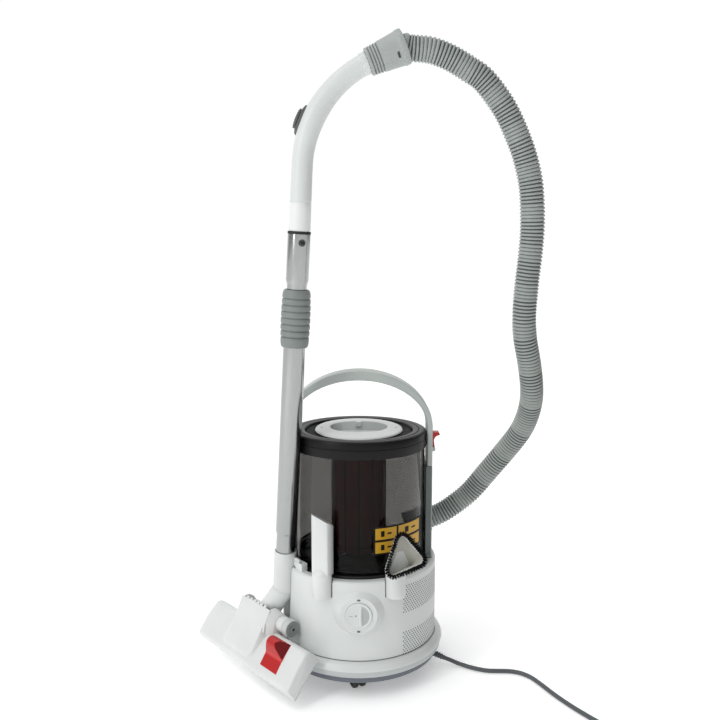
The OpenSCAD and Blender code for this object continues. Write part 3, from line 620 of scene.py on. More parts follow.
def make_body_seam():
    # A thin dark band of painted shade in the seam between the base ring and the housing.
    profile = [(131.6, 60.2), (132.25, 60.6), (132.25, 61.4), (131.6, 61.8)]
    obj = lathe("housing_seam", profile, SHADOW, ROOT, segments=180)


cad("body_shell", WHITE)
make_body_seam()


def caster_frame(i):
    turns = (25, 120, 200, -60)
    return turn("Z", 90 * i) @ move(0, -103, 0) @ turn("Z", turns[i])


def make_caster(i, side):
    place = caster_frame(i)
    trail, axle_z, guard_r = 5, 14, 16
    body_fork, body_wheels = "caster_" + side, "wheels_" + side
    cad("caster_fork_" + side, BLACK)
    for one, s in (("a", -1), ("b", 1)):
        profile = rounded([(2.05, -4), (12.5, -4), (14, -2.6), (14, 2.6), (12.5, 4), (9.5, 4), (8.5, 2.6),
                           (4, 2.6),
                           (2.05, 3.2)], 1.0)
        wheel = lathe("caster_wheel_%s_%s" % (side, one), profile, WHEEL_BLACK, body_wheels,
                      place @ move(s * 6.7, trail, axle_z) @ turn("Y", 90 * s), segments=64)
        if s < 0:
            replace(wheel, "caster_wheels_" + side, slot="wheel_black")
    outline = arc_points(trail, axle_z, guard_r, 20, 161, 10)
    outline += arc_points(trail, axle_z, guard_r - 1.4, 160, 19, -10)
    guard = prism("caster_guard_" + side, outline, -11.5, 11.5, BLACK, body_fork, place @ ACROSS, 0.5)


for index, side in enumerate(("front", "right", "back", "left")):
    make_caster(index, side)


# ---------- dust bin, lid and filter ----------

LID_LIFT = 3
LID_PLACE = move(0, 0, LID_LIFT)


def make_bin():
    high = 383 + LID_LIFT
    wall = [(108.6, 192), (112.2, 195), (112.2, high), (109.8, high), (109.8, 197), (105.4, 192)]
    obj = lathe("bin_wall", wall, SMOKED, ROOT, segments=160)
    replace(obj, "bin", slot="smoked")


def make_bin_base():
    profile = [(36, 178.2), (112.3, 178.2), (113.3, 180), (113.3, 189.5), (112.4, 191), (110.2, 192),
               (98, 192),
               (98, 184), (46, 184), (46, 198), (43.5, 198), (43.5, 184), (36, 184)]
    replace(lathe("bin_foot", profile, BLACK, ROOT), "bin_base", slot="black")


def make_lid():
    profile = [(110.4, 378), (112.2, 378), (112.5, 379), (112.6, 391), (112.6, 392.2), (111.9, 392.6),
               (111.9, 393.2),
               (112.5, 393.6), (112.4, 402.6), (111.5, 404.9), (109.6, 405.9), (106.5, 406), (103, 406),
               (102.6, 405.6), (102.3, 403.4), (101.7, 403.4), (101.4, 405.6), (101, 406), (95, 406),
               (92.5, 405.4),
               (91.3, 403.5), (91, 401), (91, 394), (72, 394), (72, 391), (104, 391), (104, 383.4),
               (110.4, 383.4)]
    profile = [(r + 1.8 if r > 109 else r, z) for r, z in profile]
    replace(lathe("lid_rim", profile, LID_BLACK, ROOT, LID_PLACE, segments=200, sharp=28), "lid_ring",
            slot="lid_black")


def make_filter_cap():
    """A dark disc with a ring of fine radial fins round the white grip."""
    profile = [(60, 394.5), (90, 394.5), (90.2, 396), (90.2, 399.2), (89.6, 400), (60, 400)]
    replace(lathe("cap_disc", profile, INNER_BLACK, "filter", LID_PLACE, segments=160), "filter_cap",
            slot="black")
    verts, faces, slots = [], [], []
    count = 150
    for k in range(count):
        a = 2 * math.pi * k / count
        c, s = math.cos(a), math.sin(a)
        base = len(verts)
        for r, w, z in ((72, 0.55, 399.9), (89.3, 0.75, 399.9), (89.3, 0.75, 402.4), (72, 0.55, 402.4)):
            verts += [(r * c - w * s, r * s + w * c, z), (r * c + w * s, r * s - w * c, z)]
        for quad in ((0, 1, 3, 2), (2, 3, 5, 4), (4, 5, 7, 6), (6, 7, 1, 0), (0, 2, 4, 6), (1, 7, 5, 3)):
            faces.append(tuple(base + q for q in quad))
    fins = add_object("cap_fins", verts, faces, LID_GROOVE, "filter", LID_PLACE, smooth=False)


def dish_floor(y):
    """The recess's floor falls from its front lip to the foot of its rear wall."""
    return 394 + 12.3 * min(1.0, max(0.0, (38 - y) / 79)) ** 1.2


def make_filter_grip():
    """The white dish: an oval plate with a finger recess whose rear wall stands up."""
    n = 128
    ts = [2 * math.pi * k / n for k in range(n)]

    def loop(a, b, dy, z):
        return [(a * math.cos(t), dy + b * math.sin(t), z) for t in ts]

    rings = [loop(52, 54, 10, 386), loop(52, 54, 10, 400), loop(70, 81, 0, 401.6),
             loop(73.6, 84.8, 0, 402.6),
             loop(74.4, 85.8, 0, 404.2), loop(73.6, 85, 0, 405.8), loop(72, 83, 0, 406.6),
             loop(68, 78, 0, 407.0),
             loop(56, 58, 8.5, 407.1), loop(51.5, 50, 11, 407), loop(49.6, 46.5, 11, 406.2)]

    def inner(shrink):
        ring = []
        for t in ts:
            back = max(0.0, math.sin(t))
            x = 48.2 * math.cos(t)
            y = 11 + (45.5 - 17 * back ** 0.5) * math.sin(t)
            x, y = x * shrink, 20 + (y - 20) * shrink
            ring.append((x, y, dish_floor(y)))
        return ring

    rings += [inner(1.0), inner(0.96), inner(0.8), inner(0.5), inner(0.2), inner(0.03)]
    # The back half of the recess's rear wall, band 10, takes the grey slot: painted shade.
    obj = ring_loft("grip_dish", rings, WHITE_TOOL, "filter", LID_PLACE, sharp=50,
                    slots=[WHITE_TOOL, SHADE_GREY],
                    slot_of=lambda k, i: 1 if k == 10 and 3 <= i <= n // 2 - 4 else 0)
    replace(obj, "filter_grip", slot="white_shell")
    for s in (-1, 1):
        hole = lathe("grip_screw_%s" % letter(s), [(0, 407.1), (1.6, 407.15), (1.9, 407.0), (0, 406.6)],
                     MARK, "filter", LID_PLACE @ move(s * 63, 0, 0), segments=24)
    tab = prism("grip_tab", rounded([(-5, 45), (5, 45), (4, 58), (-4, 58)], 1.5), 399, 407.3, WHITE_TOOL,
                "filter",
                LID_PLACE, 0.5)


def make_filter_cage():
    """A dark ribbed tube, and the pleated filter inside it."""
    profile = [(43.6, 202), (45.4, 202.6), (45.5, 212), (44.6, 213), (44.6, 216), (45.5, 217), (45.5, 372),
               (45.2, 384),
               (43.6, 384)]
    cage = lathe("cage_wall", profile, CAGE_TINT, "filter", segments=96)
    replace(cage, "filter_cage", slot="cage")
    for k in range(12):
        a = 30 * k
        rib = prism("cage_rib_%02d" % k, rounded([(-1.6, -1), (1.6, -1), (1.6, 1), (-1.6, 1)], 0.5), 204,
                    383,
                    INNER_BLACK, "filter", turn("Z", a) @ move(45.2, 0, 0), 0.3)
    verts, faces = [], []
    n = 160
    for z in (204.5, 369.5):
        for k in range(n):
            r = 43 if k % 2 == 0 else 37
            a = 2 * math.pi * k / n
            verts.append((r * math.cos(a), r * math.sin(a), z))
    for k in range(n):
        m = (k + 1) % n
        faces.append((k, m, n + m, n + k))
    faces += [tuple(reversed(range(n))), tuple(range(n, 2 * n))]
    core = add_object("filter_pleats", verts, faces, FILTER_RED, "filter", smooth=False)
    replace(core, "filter_core", slot="filter_red")


make_bin()
make_bin_base()
make_lid()
make_filter_cap()
make_filter_grip()
make_filter_cage()


def make_bin_bands():
    """Dark bands inside the bin's foot, and the sticker's four generic panels on its front."""
    for i, (z0, z1) in enumerate(((193, 198), (200.5, 204.5))):
        band = lathe("bin_band_%d" % i, [(105.2, z0), (107.2, z0), (107.2, z1), (105.2, z1)], INNER_BLACK,
                     ROOT)
    r = 112.5

    def patch(name, a0, a1, z0, z1, material, lift):
        verts, faces = [], []
        steps = 12
        for k in range(steps + 1):
            a = math.radians(a0 + (a1 - a0) * k / steps)
            for z in (z0, z1):
                verts.append(((r + lift) * math.sin(a), -(r + lift) * math.cos(a), z))
        for k in range(steps):
            faces.append((2 * k, 2 * k + 2, 2 * k + 3, 2 * k + 1))
        obj = add_object(name, verts, faces, material, ROOT)
        return obj

    patch("sticker", 12, 66, 225.5, 272, LABEL_INK, 0.0)
    boxes = ((13.5, 32.5, 250.5, 269), (34.5, 62, 250.5, 269), (13.5, 32.5, 228.5, 246.5),
             (34.5, 62, 228.5, 246.5))
    for i, (a0, a1, z0, z1) in enumerate(boxes):
        patch("sticker_panel_%d" % i, a0, a1, z0, z1, LABEL, 0.12)
        middle, half = (a0 + a1) / 2, (a1 - a0) / 4
        patch("sticker_mark_%d" % i, middle - half, middle - half * 0.35, z0 + 4.5, z1 - 4.5, LABEL_INK, 0.2)
        patch("sticker_bar_%d" % i, middle + half * 0.2, middle + half, (z0 + z1) / 2 - 1.4,
              (z0 + z1) / 2 + 1.4,
              LABEL_INK, 0.2)


make_bin_bands()


# ---------- handle, arms and latches ----------

def mirrored(s):
    """The frame of the left side for -1, of the right side for 1."""
    return Matrix.Scale(-1, 4, (1, 0, 0)) if s < 0 else HERE


def arch_section(x_out, x_in, z_out, z_in, half):
    """One cross-section of the carry handle's band, with rounded edges, as points round it."""
    out, inn = Vector((x_out, z_out)), Vector((x_in, z_in))
    across = inn - out
    points = []
    r = 2.2
    for side, outer, turned in ((1, True, False), (1, False, True), (-1, False, False), (-1, True, True)):
        for k in range(5):
            a = math.pi / 2 * k / 4
            along, off = (math.cos(a), math.sin(a)) if turned else (math.sin(a), math.cos(a))
            y = side * (half - r + along * r)
            u = (r - off * r) / across.length
            p = out + across * (1 - u if outer else u)
            points.append((p.x, y, p.y))
    return points


def make_handle():
    half = 23
    legs = (348.5, 350, 362, 376, 390, 402)
    rings = [arch_section(124, 115, z, z, half) for z in legs]
    for k in range(49):
        t = math.pi * k / 48
        rings.append(arch_section(124 * math.cos(t), 115 * math.cos(t), 414 + 95 * math.sin(t),
                                  414 + 79.5 * math.sin(t), half))
    rings += [arch_section(-124, -115, z, z, half) for z in reversed(legs)]
    obj = ring_loft("handle_band", rings, HANDLE, "handle", sharp=50)
    replace(obj, "carry_handle", slot="handle_grey")


def make_handle_details():
    """Hinge knuckles, latch ears and latch pins."""
    for s in (-1, 1):
        name = letter(s)
        side = mirrored(s)
        profile = rounded([(2.56, 118.1), (5.5, 118.1), (5.5, 120.9), (2.56, 120.9)], 0.4)
        knuckle = lathe("handle_knuckle_" + name, profile, HANDLE, "handle",
                        side @ move(0, 27, 348) @ turn("Y", 90), segments=48)
        web = prism("handle_web_" + name, [(17, 348.6), (24, 349), (32, 350), (31.8, 353), (22.9, 364),
                                           (17, 362)],
                    118.1, 120.9, HANDLE, "handle", side @ ACROSS, 0.4)
        for t in (-1, 1):
            ear = prism("latch_ear_%s_%s" % (name, "a" if t < 0 else "b"),
                        rounded([(123.6, 370.5), (129.6, 372.5), (129.6, 377.5), (123.6, 379.5)], 1.4), -1.4,
                        1.4,
                        HANDLE, "handle", side @ move(0, t * 11.5, 0) @ turn("X", 90), 0.4)
        pin = lathe("latch_pin_" + name, rounded([(0, -12.6), (1.6, -12.6), (1.6, 12.6), (0, 12.6)], 0.2),
                    STEEL,
                    "handle", side @ move(127, 0, 375) @ turn("X", 90), segments=24)


def arm_outline():
    points = [(-29, 190.1), (29, 190.1)]
    points += arc_points(35, 202, 12, 235, 179, -11)
    points += [(23, 347.7), (-23, 347.7)]
    points += arc_points(-35, 202, 12, 0, -56, -11)
    return points


def make_arms():
    for s in (-1, 1):
        name = letter(s)
        side = mirrored(s)
        arm = prism("side_arm_" + name, arm_outline(), 112.8, 122.4, ARM, ROOT, side @ ACROSS, 1.0)
        if s < 0:
            replace(arm, "side_arms", slot="arm_grey")
        edge = prism("side_arm_face_" + name, arm_outline(), 122.0, 124, ARM_EDGE, ROOT, side @ ACROSS, 0.9)
        for x0, x1, part in ((115, 117.8, "a"), (121.2, 124, "b")):
            knuckle = lathe("arm_knuckle_%s_%s" % (name, part),
                            rounded([(2.5, x0), (5.5, x0), (5.5, x1), (2.5, x1)], 0.4), ARM, ROOT,
                            side @ move(0, 27, 348) @ turn("Y", 90), segments=48)
            web = prism("arm_web_%s_%s" % (name, part), [(22, 332), (24, 332), (31.5, 343.5), (28, 347.6),
                                                         (22, 347.6)],
                        x0, x1, ARM, ROOT, side @ ACROSS, 0.4)
    cad("handle_pins", STEEL)


def make_latch(s, body, node, reach=1.0):
    side = mirrored(s)
    outline = [(125.4, 374)]
    outline += arc_points(127, 375, 2.7, 200, 361, 20)
    outline += [(128.6, 383)]
    outline += arc_points(137, 392, 9.5, 180, 99, -10)
    outline += [(137.3, 402.2), (137.4, 403.4), (136, 406), (126.4, 406), (125.3, 404.8)]
    outline = [(min(x, 129) + max(0, x - 129) * reach, z - 3.5 if z > 382 else z) for x, z in outline]
    obj = prism("latch_" + letter(s), outline, -9, 9, RED, body, side @ turn("X", 90), 0.5, 30)
    replace(obj, node, slot="red")
    tip = 129 + 7.2 * reach
    # The latch's top face is a thin lighter red sheet: a painted highlight.
    top = prism("latch_top_" + letter(s), rounded([(126.6, -8.2), (tip, -8.2), (tip, 8.2), (126.6, 8.2)],
                0.8), 402.1, 403.1, RED_HIGHLIGHT, body, side, 0.3)


make_handle()
make_handle_details()
make_arms()
make_latch(1, "latch_right", "latch_right")
make_latch(-1, "latch_left", "latch_left", 0.2)


# ---------- dial, inlet, bracket ----------

DIAL = move(0, -137, 140) @ turn("X", 90)


def make_dial():
    profile = [(0, 0), (21, 0), (21, 5.2), (20.3, 6), (18.6, 6.1), (18.2, 5.7), (17.6, 5.6), (0, 5.4)]
    replace(lathe("dial_cap", profile, DIAL_GREY, "dial", DIAL, segments=96), "dial", slot="dial_grey")
    stem = lathe("dial_stem", rounded([(0, -17), (3, -17), (3, 1), (0, 1)], 0.2), DIAL_GREY, "dial", DIAL,
                 segments=32)
    n = 20
    verts, faces = [], []
    for x, z in ((1.2, 5.3), (2.6, 7.6), (4.4, 7.4), (5.4, 5.3)):
        for k in range(n + 1):
            y = -17.2 + 34.4 * k / n
            h = max(0.0, 1 - (y / 17.2) ** 4)
            verts.append((x, y, 5.2 + (z - 5.2) * h))
    for row in range(3):
        for k in range(n):
            a = row * (n + 1) + k
            faces.append((a, a + 1, a + n + 2, a + n + 1))
    ridge = add_object("dial_ridge", verts, faces, DIAL_GREY, "dial", DIAL, sharp=60)
    # A thin grey sheet over the right of the dial face: painted shade.
    shade_outline = []
    for k in range(25):
        a = math.radians(-72 + 144 * k / 24)
        shade_outline.append((17.2 * math.cos(a) * 0.98, 17.2 * math.sin(a) * 0.98))
    shade_outline = [(5.4, -16.2)] + [p for p in shade_outline if p[0] > 5.4] + [(5.4, 16.2)]
    dish = prism("dial_shade_sheet", shade_outline, 5.42, 5.62, SHADE_GREY, "dial", DIAL, 0)
    dot = lathe("dial_dot", [(0, 5.9), (1.0, 5.85), (1.1, 5.4), (0, 5.4)], MARK, "dial",
                DIAL @ move(-4.5, 0.5, 0),
                segments=16)
    dash = prism("dial_dash", rounded([(-14.5, -0.7), (-9.5, -0.7), (-9.5, 0.7), (-14.5, 0.7)], 0.4), 5.4,
                 5.75,
                 MARK_FAINT, "dial", DIAL, 0)
    for i, z in enumerate((25.4, -25.6)):
        mark = prism("boss_mark_%d" % i, rounded([(-2.4, -1.3), (2.4, -1.3), (2.4, 1.3), (-2.4, 1.3)], 0.3),
                     3.4, 4.4,
                     MARK, ROOT, DIAL @ move(0, z, 0), 0)


def make_inlet():
    cad("inlet_port", BLACK)
    profile = rounded([(20.6, -14), (22.4, -14), (23, -13), (23, 4), (22.2, 5), (19.9, 5), (19.9, -7),
                       (20.6, -7)], 0.4)
    replace(lathe("inlet_cuff", profile, COLLAR, ROOT, INLET, segments=72), "port_cuff", slot="collar_grey")


make_dial()
make_inlet()
cad("park_bracket", WHITE)


def make_vents():
    """Two zones of small round vents on the housing's right side, as dark discs of painted shade on its
    skin.
    """
    verts, faces = [], []
    pitch, row_gap, hole_r = 5.2, 3.6, 1.12
    radius = 132.12
    a_low, a_high = 33, 82
    for zone_low, zone_high in ((132, 177), (62, 100)):
        rows = int((zone_high - zone_low) / row_gap) + 1
        for row in range(rows):
            z = zone_low + row * row_gap
            shift = 0.5 * (row % 2)
            step = math.degrees(pitch / radius)
            count = int((a_high - a_low) / step)
            for k in range(count):
                azimuth = a_low + (k + shift) * step
                a = math.radians(azimuth - 90)
                outward = Vector((math.cos(a), math.sin(a), 0))
                side = Vector((-math.sin(a), math.cos(a), 0))
                centre = outward * radius + Vector((0, 0, z))
                base = len(verts)
                verts.append(tuple(centre))
                for j in range(10):
                    t = 2 * math.pi * j / 10
                    verts.append(tuple(centre + hole_r * (math.cos(t) * side + math.sin(t) * Vector((0, 0,
                                                                                                   1)))))
                faces += [(base, base + 1 + j, base + 1 + (j + 1) % 10) for j in range(10)]
    vents = add_object("vent_holes", verts, faces, SHADOW, ROOT, smooth=False)


make_vents()


# ---------- accessory tools ----------

def make_crevice_tool():
    """A round foot with a domed shoulder, and a flat-fronted channel cut off aslant at its tip."""
    low, half_width = 198, 14.4

    def section(x):
        top = 291 - 0.38 * x
        inset = 1.6 * (abs(x) / half_width) ** 10
        front, back = -8 + inset, 13.7 - inset
        return [(x, front, low), (x, front, top - 0.6), (x, front + 0.6, top), (x, back - 0.6, top - 9),
                (x, back, top - 9.6), (x, back, low)]

    blade = ring_loft("crevice_blade", [section(x) for x in (-14.4, -13.9, -13, -11.5, -6, 0, 6, 11.5, 13,
                                                             13.9, 14.4)],
                      WHITE_TOOL, "crevice_tool", tool_spot(-1), sharp=50)
    replace(blade, "crevice_tool", slot="white_shell")
    shoulder = [(15.9 * math.cos(a), 197 + 13 * math.sin(a)) for a in (math.radians(d) for d in range(0, 90,
                                                                                                      10))]
    foot = lathe("crevice_foot", [(0, 163.4), (15.4, 163.4), (15.9, 164.4)] + shoulder + [(0, 210)],
                 WHITE_TOOL,
                 "crevice_tool", tool_spot(-1), segments=72, sharp=50)


def mouth_loop(grow, z, n=72):
    """The brush mouth's outline: a triangle with round corners, in the mouth's own frame."""
    corners = [Vector((-2.3, 23.2)), Vector((-21, -17.7)), Vector((19.5, -6.1))]
    centre = sum(corners, Vector((0, 0))) / 3
    radius = 9 + grow
    points = []
    for i, c in enumerate(corners):
        a, b = corners[i - 1], corners[(i + 1) % 3]
        start = (c - a).normalized()
        end = (b - c).normalized()
        n0 = Vector((start.y, -start.x))
        n1 = Vector((end.y, -end.x))
        if n0.dot(c - centre) < 0:
            n0, n1 = -n0, -n1
        a0, a1 = math.atan2(n0.y, n0.x), math.atan2(n1.y, n1.x)
        while a1 - a0 > math.pi:
            a1 -= 2 * math.pi
        while a1 - a0 < -math.pi:
            a1 += 2 * math.pi
        steps = n // 6
        for k in range(steps):
            t = a0 + (a1 - a0) * k / (steps - 1)
            points.append((c.x + radius * math.cos(t), c.y + radius * math.sin(t), z))
        nxt = b + radius * Vector((math.cos(a1), math.sin(a1)))
        here = Vector(points[-1][:2])
        for k in range(1, n // 6 + 1):
            p = here + (nxt - here) * k / (n // 6 + 1)
            points.append((p.x, p.y, z))
    return points


MOUTH = tool_spot(1) @ move(4.3, -18.2, 233.5) @ turn("Z", -12) @ turn("X", 69)


def make_brush():
    body, place = "dusting_brush", tool_spot(1)
    to_tool = place.inverted() @ MOUTH

    def mouth(grow, z):
        return [tuple(to_tool @ Vector(p)) for p in mouth_loop(grow, z)]

    top = mouth(2.2, 7.4)
    n = len(top)
    start_angle = math.atan2(top[0][1], top[0][0])

    def stem(r, z, flip):
        return [(r * math.cos(start_angle + flip * 2 * math.pi * k / n),
                 r * math.sin(start_angle + flip * 2 * math.pi * k / n), z)
                for k in range(n)]

    def twist(a, b):
        return sum((Vector(p) - Vector(q)).length for p, q in zip(a, b))

    flip = min((1, -1), key=lambda f: twist(stem(16, 200, f), top))
    best = min(range(n), key=lambda s: twist([stem(16, 200, flip)[(k + s) % n] for k in range(n)], top))

    def stem_loop(r, z):
        base = stem(r, z, flip)
        return [base[(k + best) % n] for k in range(n)]

    def mix(a, b, t, lift=0.0):
        return [tuple(Vector(p).lerp(Vector(q), t) + Vector((0, 0, lift))) for p, q in zip(a, b)]

    outer_stem, rim_back = stem_loop(16, 203), mouth(2.4, 0)
    rings = [stem_loop(15.4, 163.4), stem_loop(16, 164.4), stem_loop(16, 180), stem_loop(16, 196)]
    for k in range(1, 8):
        t = k / 8
        rings.append(mix(stem_loop(16, 196 + 10 * t), rim_back, t * t * (3 - 2 * t)))
    rings += [rim_back, mouth(2.6, 5), mouth(2.4, 7.2), mouth(1.6, 8), mouth(-1.6, 8), mouth(-2.2, 7.2)]
    split = len(rings) - 1
    inner_back = mouth(-2.6, 1)
    rings.append(inner_back)
    for k in range(1, 6):
        t = k / 6
        rings.append(mix(inner_back, stem_loop(12.6, 200), t))
    rings.append(stem_loop(12.6, 198))
    rings.append(stem_loop(12.6, 166))
    obj = ring_loft("brush_shell", rings, WHITE_TOOL, body, place, caps=False, sharp=70,
                    slots=[WHITE_TOOL, CREAM],
                    slot_of=lambda k, i: 1 if k >= split else 0)
    replace(obj, "dusting_brush", slot="white_shell")


def make_bristles():
    """Two rows of tufts round the mouth's rim, each a small bundle that spreads at its tip."""
    verts, faces = [], []
    per_row, hairs, golden = 46, 8, 2.399
    for row, grow in enumerate((-0.2, 1.7)):
        loop = [Vector(p) for p in mouth_loop(grow, 7.2, 72)]
        closed = loop + [loop[0]]
        centre = sum(loop, Vector((0, 0, 0))) / len(loop)
        for k, p in enumerate(respaced(closed, route_length(closed) / per_row)[:-1]):
            outward = Vector((p.x - centre.x, p.y - centre.y, 0)).normalized()
            for j in range(hairs):
                t = golden * j + k
                spread = 0.4 * math.sqrt(j)
                around = Vector((math.cos(t), math.sin(t), 0)) * spread
                foot = p + around
                tip = foot + outward * (1.0 + 1.9 * row) + 1.2 * around
                tip += Vector((0, 0, 8.4 - 1.6 * row - 0.8 * abs(math.sin(5 * t))))
                base = len(verts)
                side = (tip - foot).cross(outward).normalized() * 0.8
                up = (tip - foot).cross(side).normalized() * 0.8
                for point, thick in ((foot, 1.0), (tip, 0.6)):
                    verts += [tuple(point + side * thick), tuple(point + (up - side * 0.5) * thick),
                              tuple(point - (up + side * 0.5) * thick)]
                faces += [(base, base + 1, base + 4, base + 3), (base + 1, base + 2, base + 5, base + 4),
                          (base + 2, base, base + 3, base + 5), (base + 3, base + 4, base + 5),
                          (base + 2, base + 1, base)]
    obj = add_object("bristle_tufts", verts, faces, BRISTLE, "dusting_brush", MOUTH, smooth=False)
    replace(obj, "brush_bristles", slot="bristle")


make_crevice_tool()
make_brush()
make_bristles()


# ---------- wand ----------

def make_lower_tube():
    profile = [(16, 30), (16, 97), (16.3, 98.5), (17.2, 100), (17.5, 101), (17.5, 480), (16.5, 480),
               (16.5, 101),
               (15.2, 98), (15.2, 30)]
    replace(lathe("tube_lower", profile, TUBE, ROOT, WAND, segments=72), "lower_tube", slot="tube_metal")


def make_collar():
    outline = [(17.6, 409), (18.6, 408.7), (20.6, 409.2), (21.6, 411.5), (22.2, 416)]
    for i in range(7):
        z = 417 + 10 * i
        swell = 22.2 + 0.9 * math.sin(math.pi * i / 6)
        outline += [(swell, z), (swell + 0.15, z + 3.4), (swell, z + 6.8), (swell - 0.35, z + 7.3),
                    (swell - 1.7, z + 7.6),
                    (swell - 1.75, z + 9.2), (swell - 0.35, z + 9.5)]
    outline += [(22.1, 488), (21.6, 493), (20.6, 496.4), (19.2, 498.4), (18, 499), (16.6, 499), (16.6, 490),
                (17.6, 490)]
    replace(lathe("collar_ribbed", outline, COLLAR, "lock_collar", WAND, segments=96, sharp=50),
            "lock_collar",
            slot="collar_grey")


def make_inner_tube():
    profile = [(15.5, 130), (15.5, 506), (16, 508), (17, 511.5), (17.5, 513.5), (17.5, 583.6), (16.3, 583.6),
               (16.3, 514), (14.5, 507), (14.5, 130)]
    replace(lathe("tube_inner", profile, TUBE, "wand_top", WAND, segments=72), "inner_tube",
            slot="tube_metal")
    replace(lathe("seal_ring", rounded([(16, 583.8), (17.9, 583.8), (17.9, 587.8), (16, 587.8)], 0.5),
                  RUBBER,
                  "wand_top", WAND, segments=64), "tube_seal", slot="rubber")
    place = WAND @ turn("Z", -20) @ move(12.9, 0, 571) @ turn("Y", 90)
    button = lathe("lock_pin", [(0, 0), (4.4, 0), (4.4, 1.2), (3.2, 1.3), (3.2, 5.0), (2.7, 5.5),
                                (1.4, 5.75), (0, 5.8)],
                   RUBBER, "lock_button", place, segments=32)
    replace(button, "lock_button", slot="black")
    # A dark ring of painted shade in the gap round the button.
    bezel = lathe("button_bezel", [(3.45, 4.2), (5.6, 4.2), (5.4, 4.75), (3.9, 4.95), (3.45, 4.8)], SHADOW,
                  "wand_top",
                  place, segments=40)


def make_grip():
    """The white hand grip: straight, then bent over towards the hose."""
    line, radii = [], []
    for s, r in ((588, 16.4), (590, 17.0), (592, 17.1), (606, 16.9), (620, 16.7), (630, 16.6), (630.6, 16.1),
                 (631.6, 16.1),
                 (632.2, 16.6), (645, 16.5), (660, 16.3), (675, 16.1)):
        line.append(WAND @ Vector((0, 0, s)))
        radii.append(r)
    steps = 48
    for k in range(steps + 1):
        a = BEND_SWEEP * k / steps
        line.append(on_bend(a) @ Vector((0, 0, 0)))
        swell = 1.4 * math.exp(-((a - 24) / 16) ** 2)
        radii.append(15.6 + 0.4 * math.exp(-a / 12) + swell)
    rings = tube_rings(line, radii, 48, (0, 1, 0))
    obj = ring_loft("hand_grip", rings, GRIP_WHITE, "wand_top", sharp=40, slots=[GRIP_WHITE, GRIP_LOW],
                    slot_of=lambda k, i: 1 if k < 6 else 0)
    replace(obj, "grip", slot="white_shell")
    spigot = lathe("grip_spigot", [(10.5, -2), (13.5, -2), (13.5, 19), (16, 19), (16, 21), (10.5, 21)],
                   GRIP_WHITE,
                   "wand_top", BEND_END, segments=48)
    ring = lathe("grip_end_ring", rounded([(15.2, -17), (16.4, -17), (16.7, -12), (16.7, -8), (15.2, -8)],
                                          0.4), GRIP_WHITE,
                 "wand_top", BEND_END, segments=64)


def make_slider():
    place = on_bend(20) @ turn("Z", 180)
    base = [(-25, 12.8), (-22, 17.8), (-15, 20.2), (0, 20.7), (15, 20.2), (22, 17.8), (25, 12.8)]
    n = 24
    rings = []
    for z, x in base:
        w = 7.5 * math.sqrt(max(0.05, 1 - (z / 26.5) ** 2))
        rings.append([(12.2, -w, z), (x - 1.2, -w, z), (x, -w * 0.7, z), (x, w * 0.7, z), (x - 1.2, w, z),
                      (12.2, w, z)])
    seat = ring_loft("slider_seat", rings, SLIDER, "wand_top", place, sharp=40)
    rings = []
    for k in range(17):
        z = -15 + 30 * k / 16
        w = 6.6 * math.sqrt(max(0.08, 1 - (z / 15.6) ** 2))
        rib = 0.7 * (k % 2)
        x = 23.2 + 2.2 * math.sqrt(max(0.0, 1 - (z / 15.6) ** 2)) - rib
        rings.append([(21.0, -w, z), (x - 0.8, -w, z), (x, -w * 0.6, z), (x, w * 0.6, z), (x - 0.8, w, z),
                      (21.0, w, z)])
    knob = ring_loft("slider_knob", rings, SLIDER, "suction_slider", place, sharp=25)
    replace(knob, "suction_slider", slot="slider_grey")


def make_connector():
    """The hose end: ribs at the grip, a smooth cone and a flared mouth."""
    profile = [(16.1, -7), (19.4, -7), (20.2, -6.4)]
    dark = []
    # Bands of the darker collar grey in the grooves between the ribs: painted shade.
    for i in range(4):
        z = -5.6 + 4.4 * i
        r = 20.5 + 0.35 * i
        profile += [(r, z), (r + 0.2, z + 1.2), (r, z + 2.5)]
        dark += [len(profile) - 1, len(profile), len(profile) + 1]
        profile += [(r - 1.1, z + 2.8), (r - 1.1, z + 3.9)]
    profile += [(21.9, 12.4), (22.3, 14), (23.2, 24), (24.2, 34), (25.2, 42), (25.9, 43.6), (26.2, 45),
                (26.3, 50),
                (25.8, 51.6), (24.8, 52), (23.9, 51.4), (23.4, 48), (20.8, 46), (19.5, 31), (19.5, 18.8),
                (13.55, 18.7),
                (13.55, 2), (16.1, 1.6)]
    obj = lathe("hose_end", profile, CONNECTOR, "hose_connector", BEND_END, segments=80, sharp=45,
                slots=[CONNECTOR, COLLAR], slot_of=lambda i: 1 if i in dark else 0)
    replace(obj, "hose_connector", slot="connector_grey")
    # A dark patch of painted shade stands for the slot in the hose end.
    slot = prism("hose_end_slot", rounded([(-1.6, -4.5), (1.6, -4.5), (1.6, 4.5), (-1.6, 4.5)], 1.2), 24.4,
                 25.6, SHADOW,
                 "hose_connector", BEND_END @ turn("Z", -62) @ move(0, 0, 34) @ turn("Y", 84) , 0.2)


make_lower_tube()
make_collar()
make_inner_tube()
make_grip()
make_slider()
make_connector()


# ---------- neck, elbow and floor head ----------

WAND_DIR = (WAND.to_3x3() @ Vector((0, 0, 1))).normalized()
PIVOT_WORLD = HEAD @ PIVOT
ELBOW_DIR = (PIVOT_WORLD - Vector(FOOT)).normalized()
SWIVEL = (ELBOW_DIR - WAND_DIR).normalized()


def cut_to_plane(obj, point, normal, keep_above):
    work = bmesh.new()
    work.from_mesh(obj.data)
    geometry = work.verts[:] + work.edges[:] + work.faces[:]
    bmesh.ops.bisect_plane(work, geom=geometry, plane_co=Vector(point) * MM, plane_no=normal,
                           clear_inner=keep_above, clear_outer=not keep_above)
    work.to_mesh(obj.data)
    work.free()


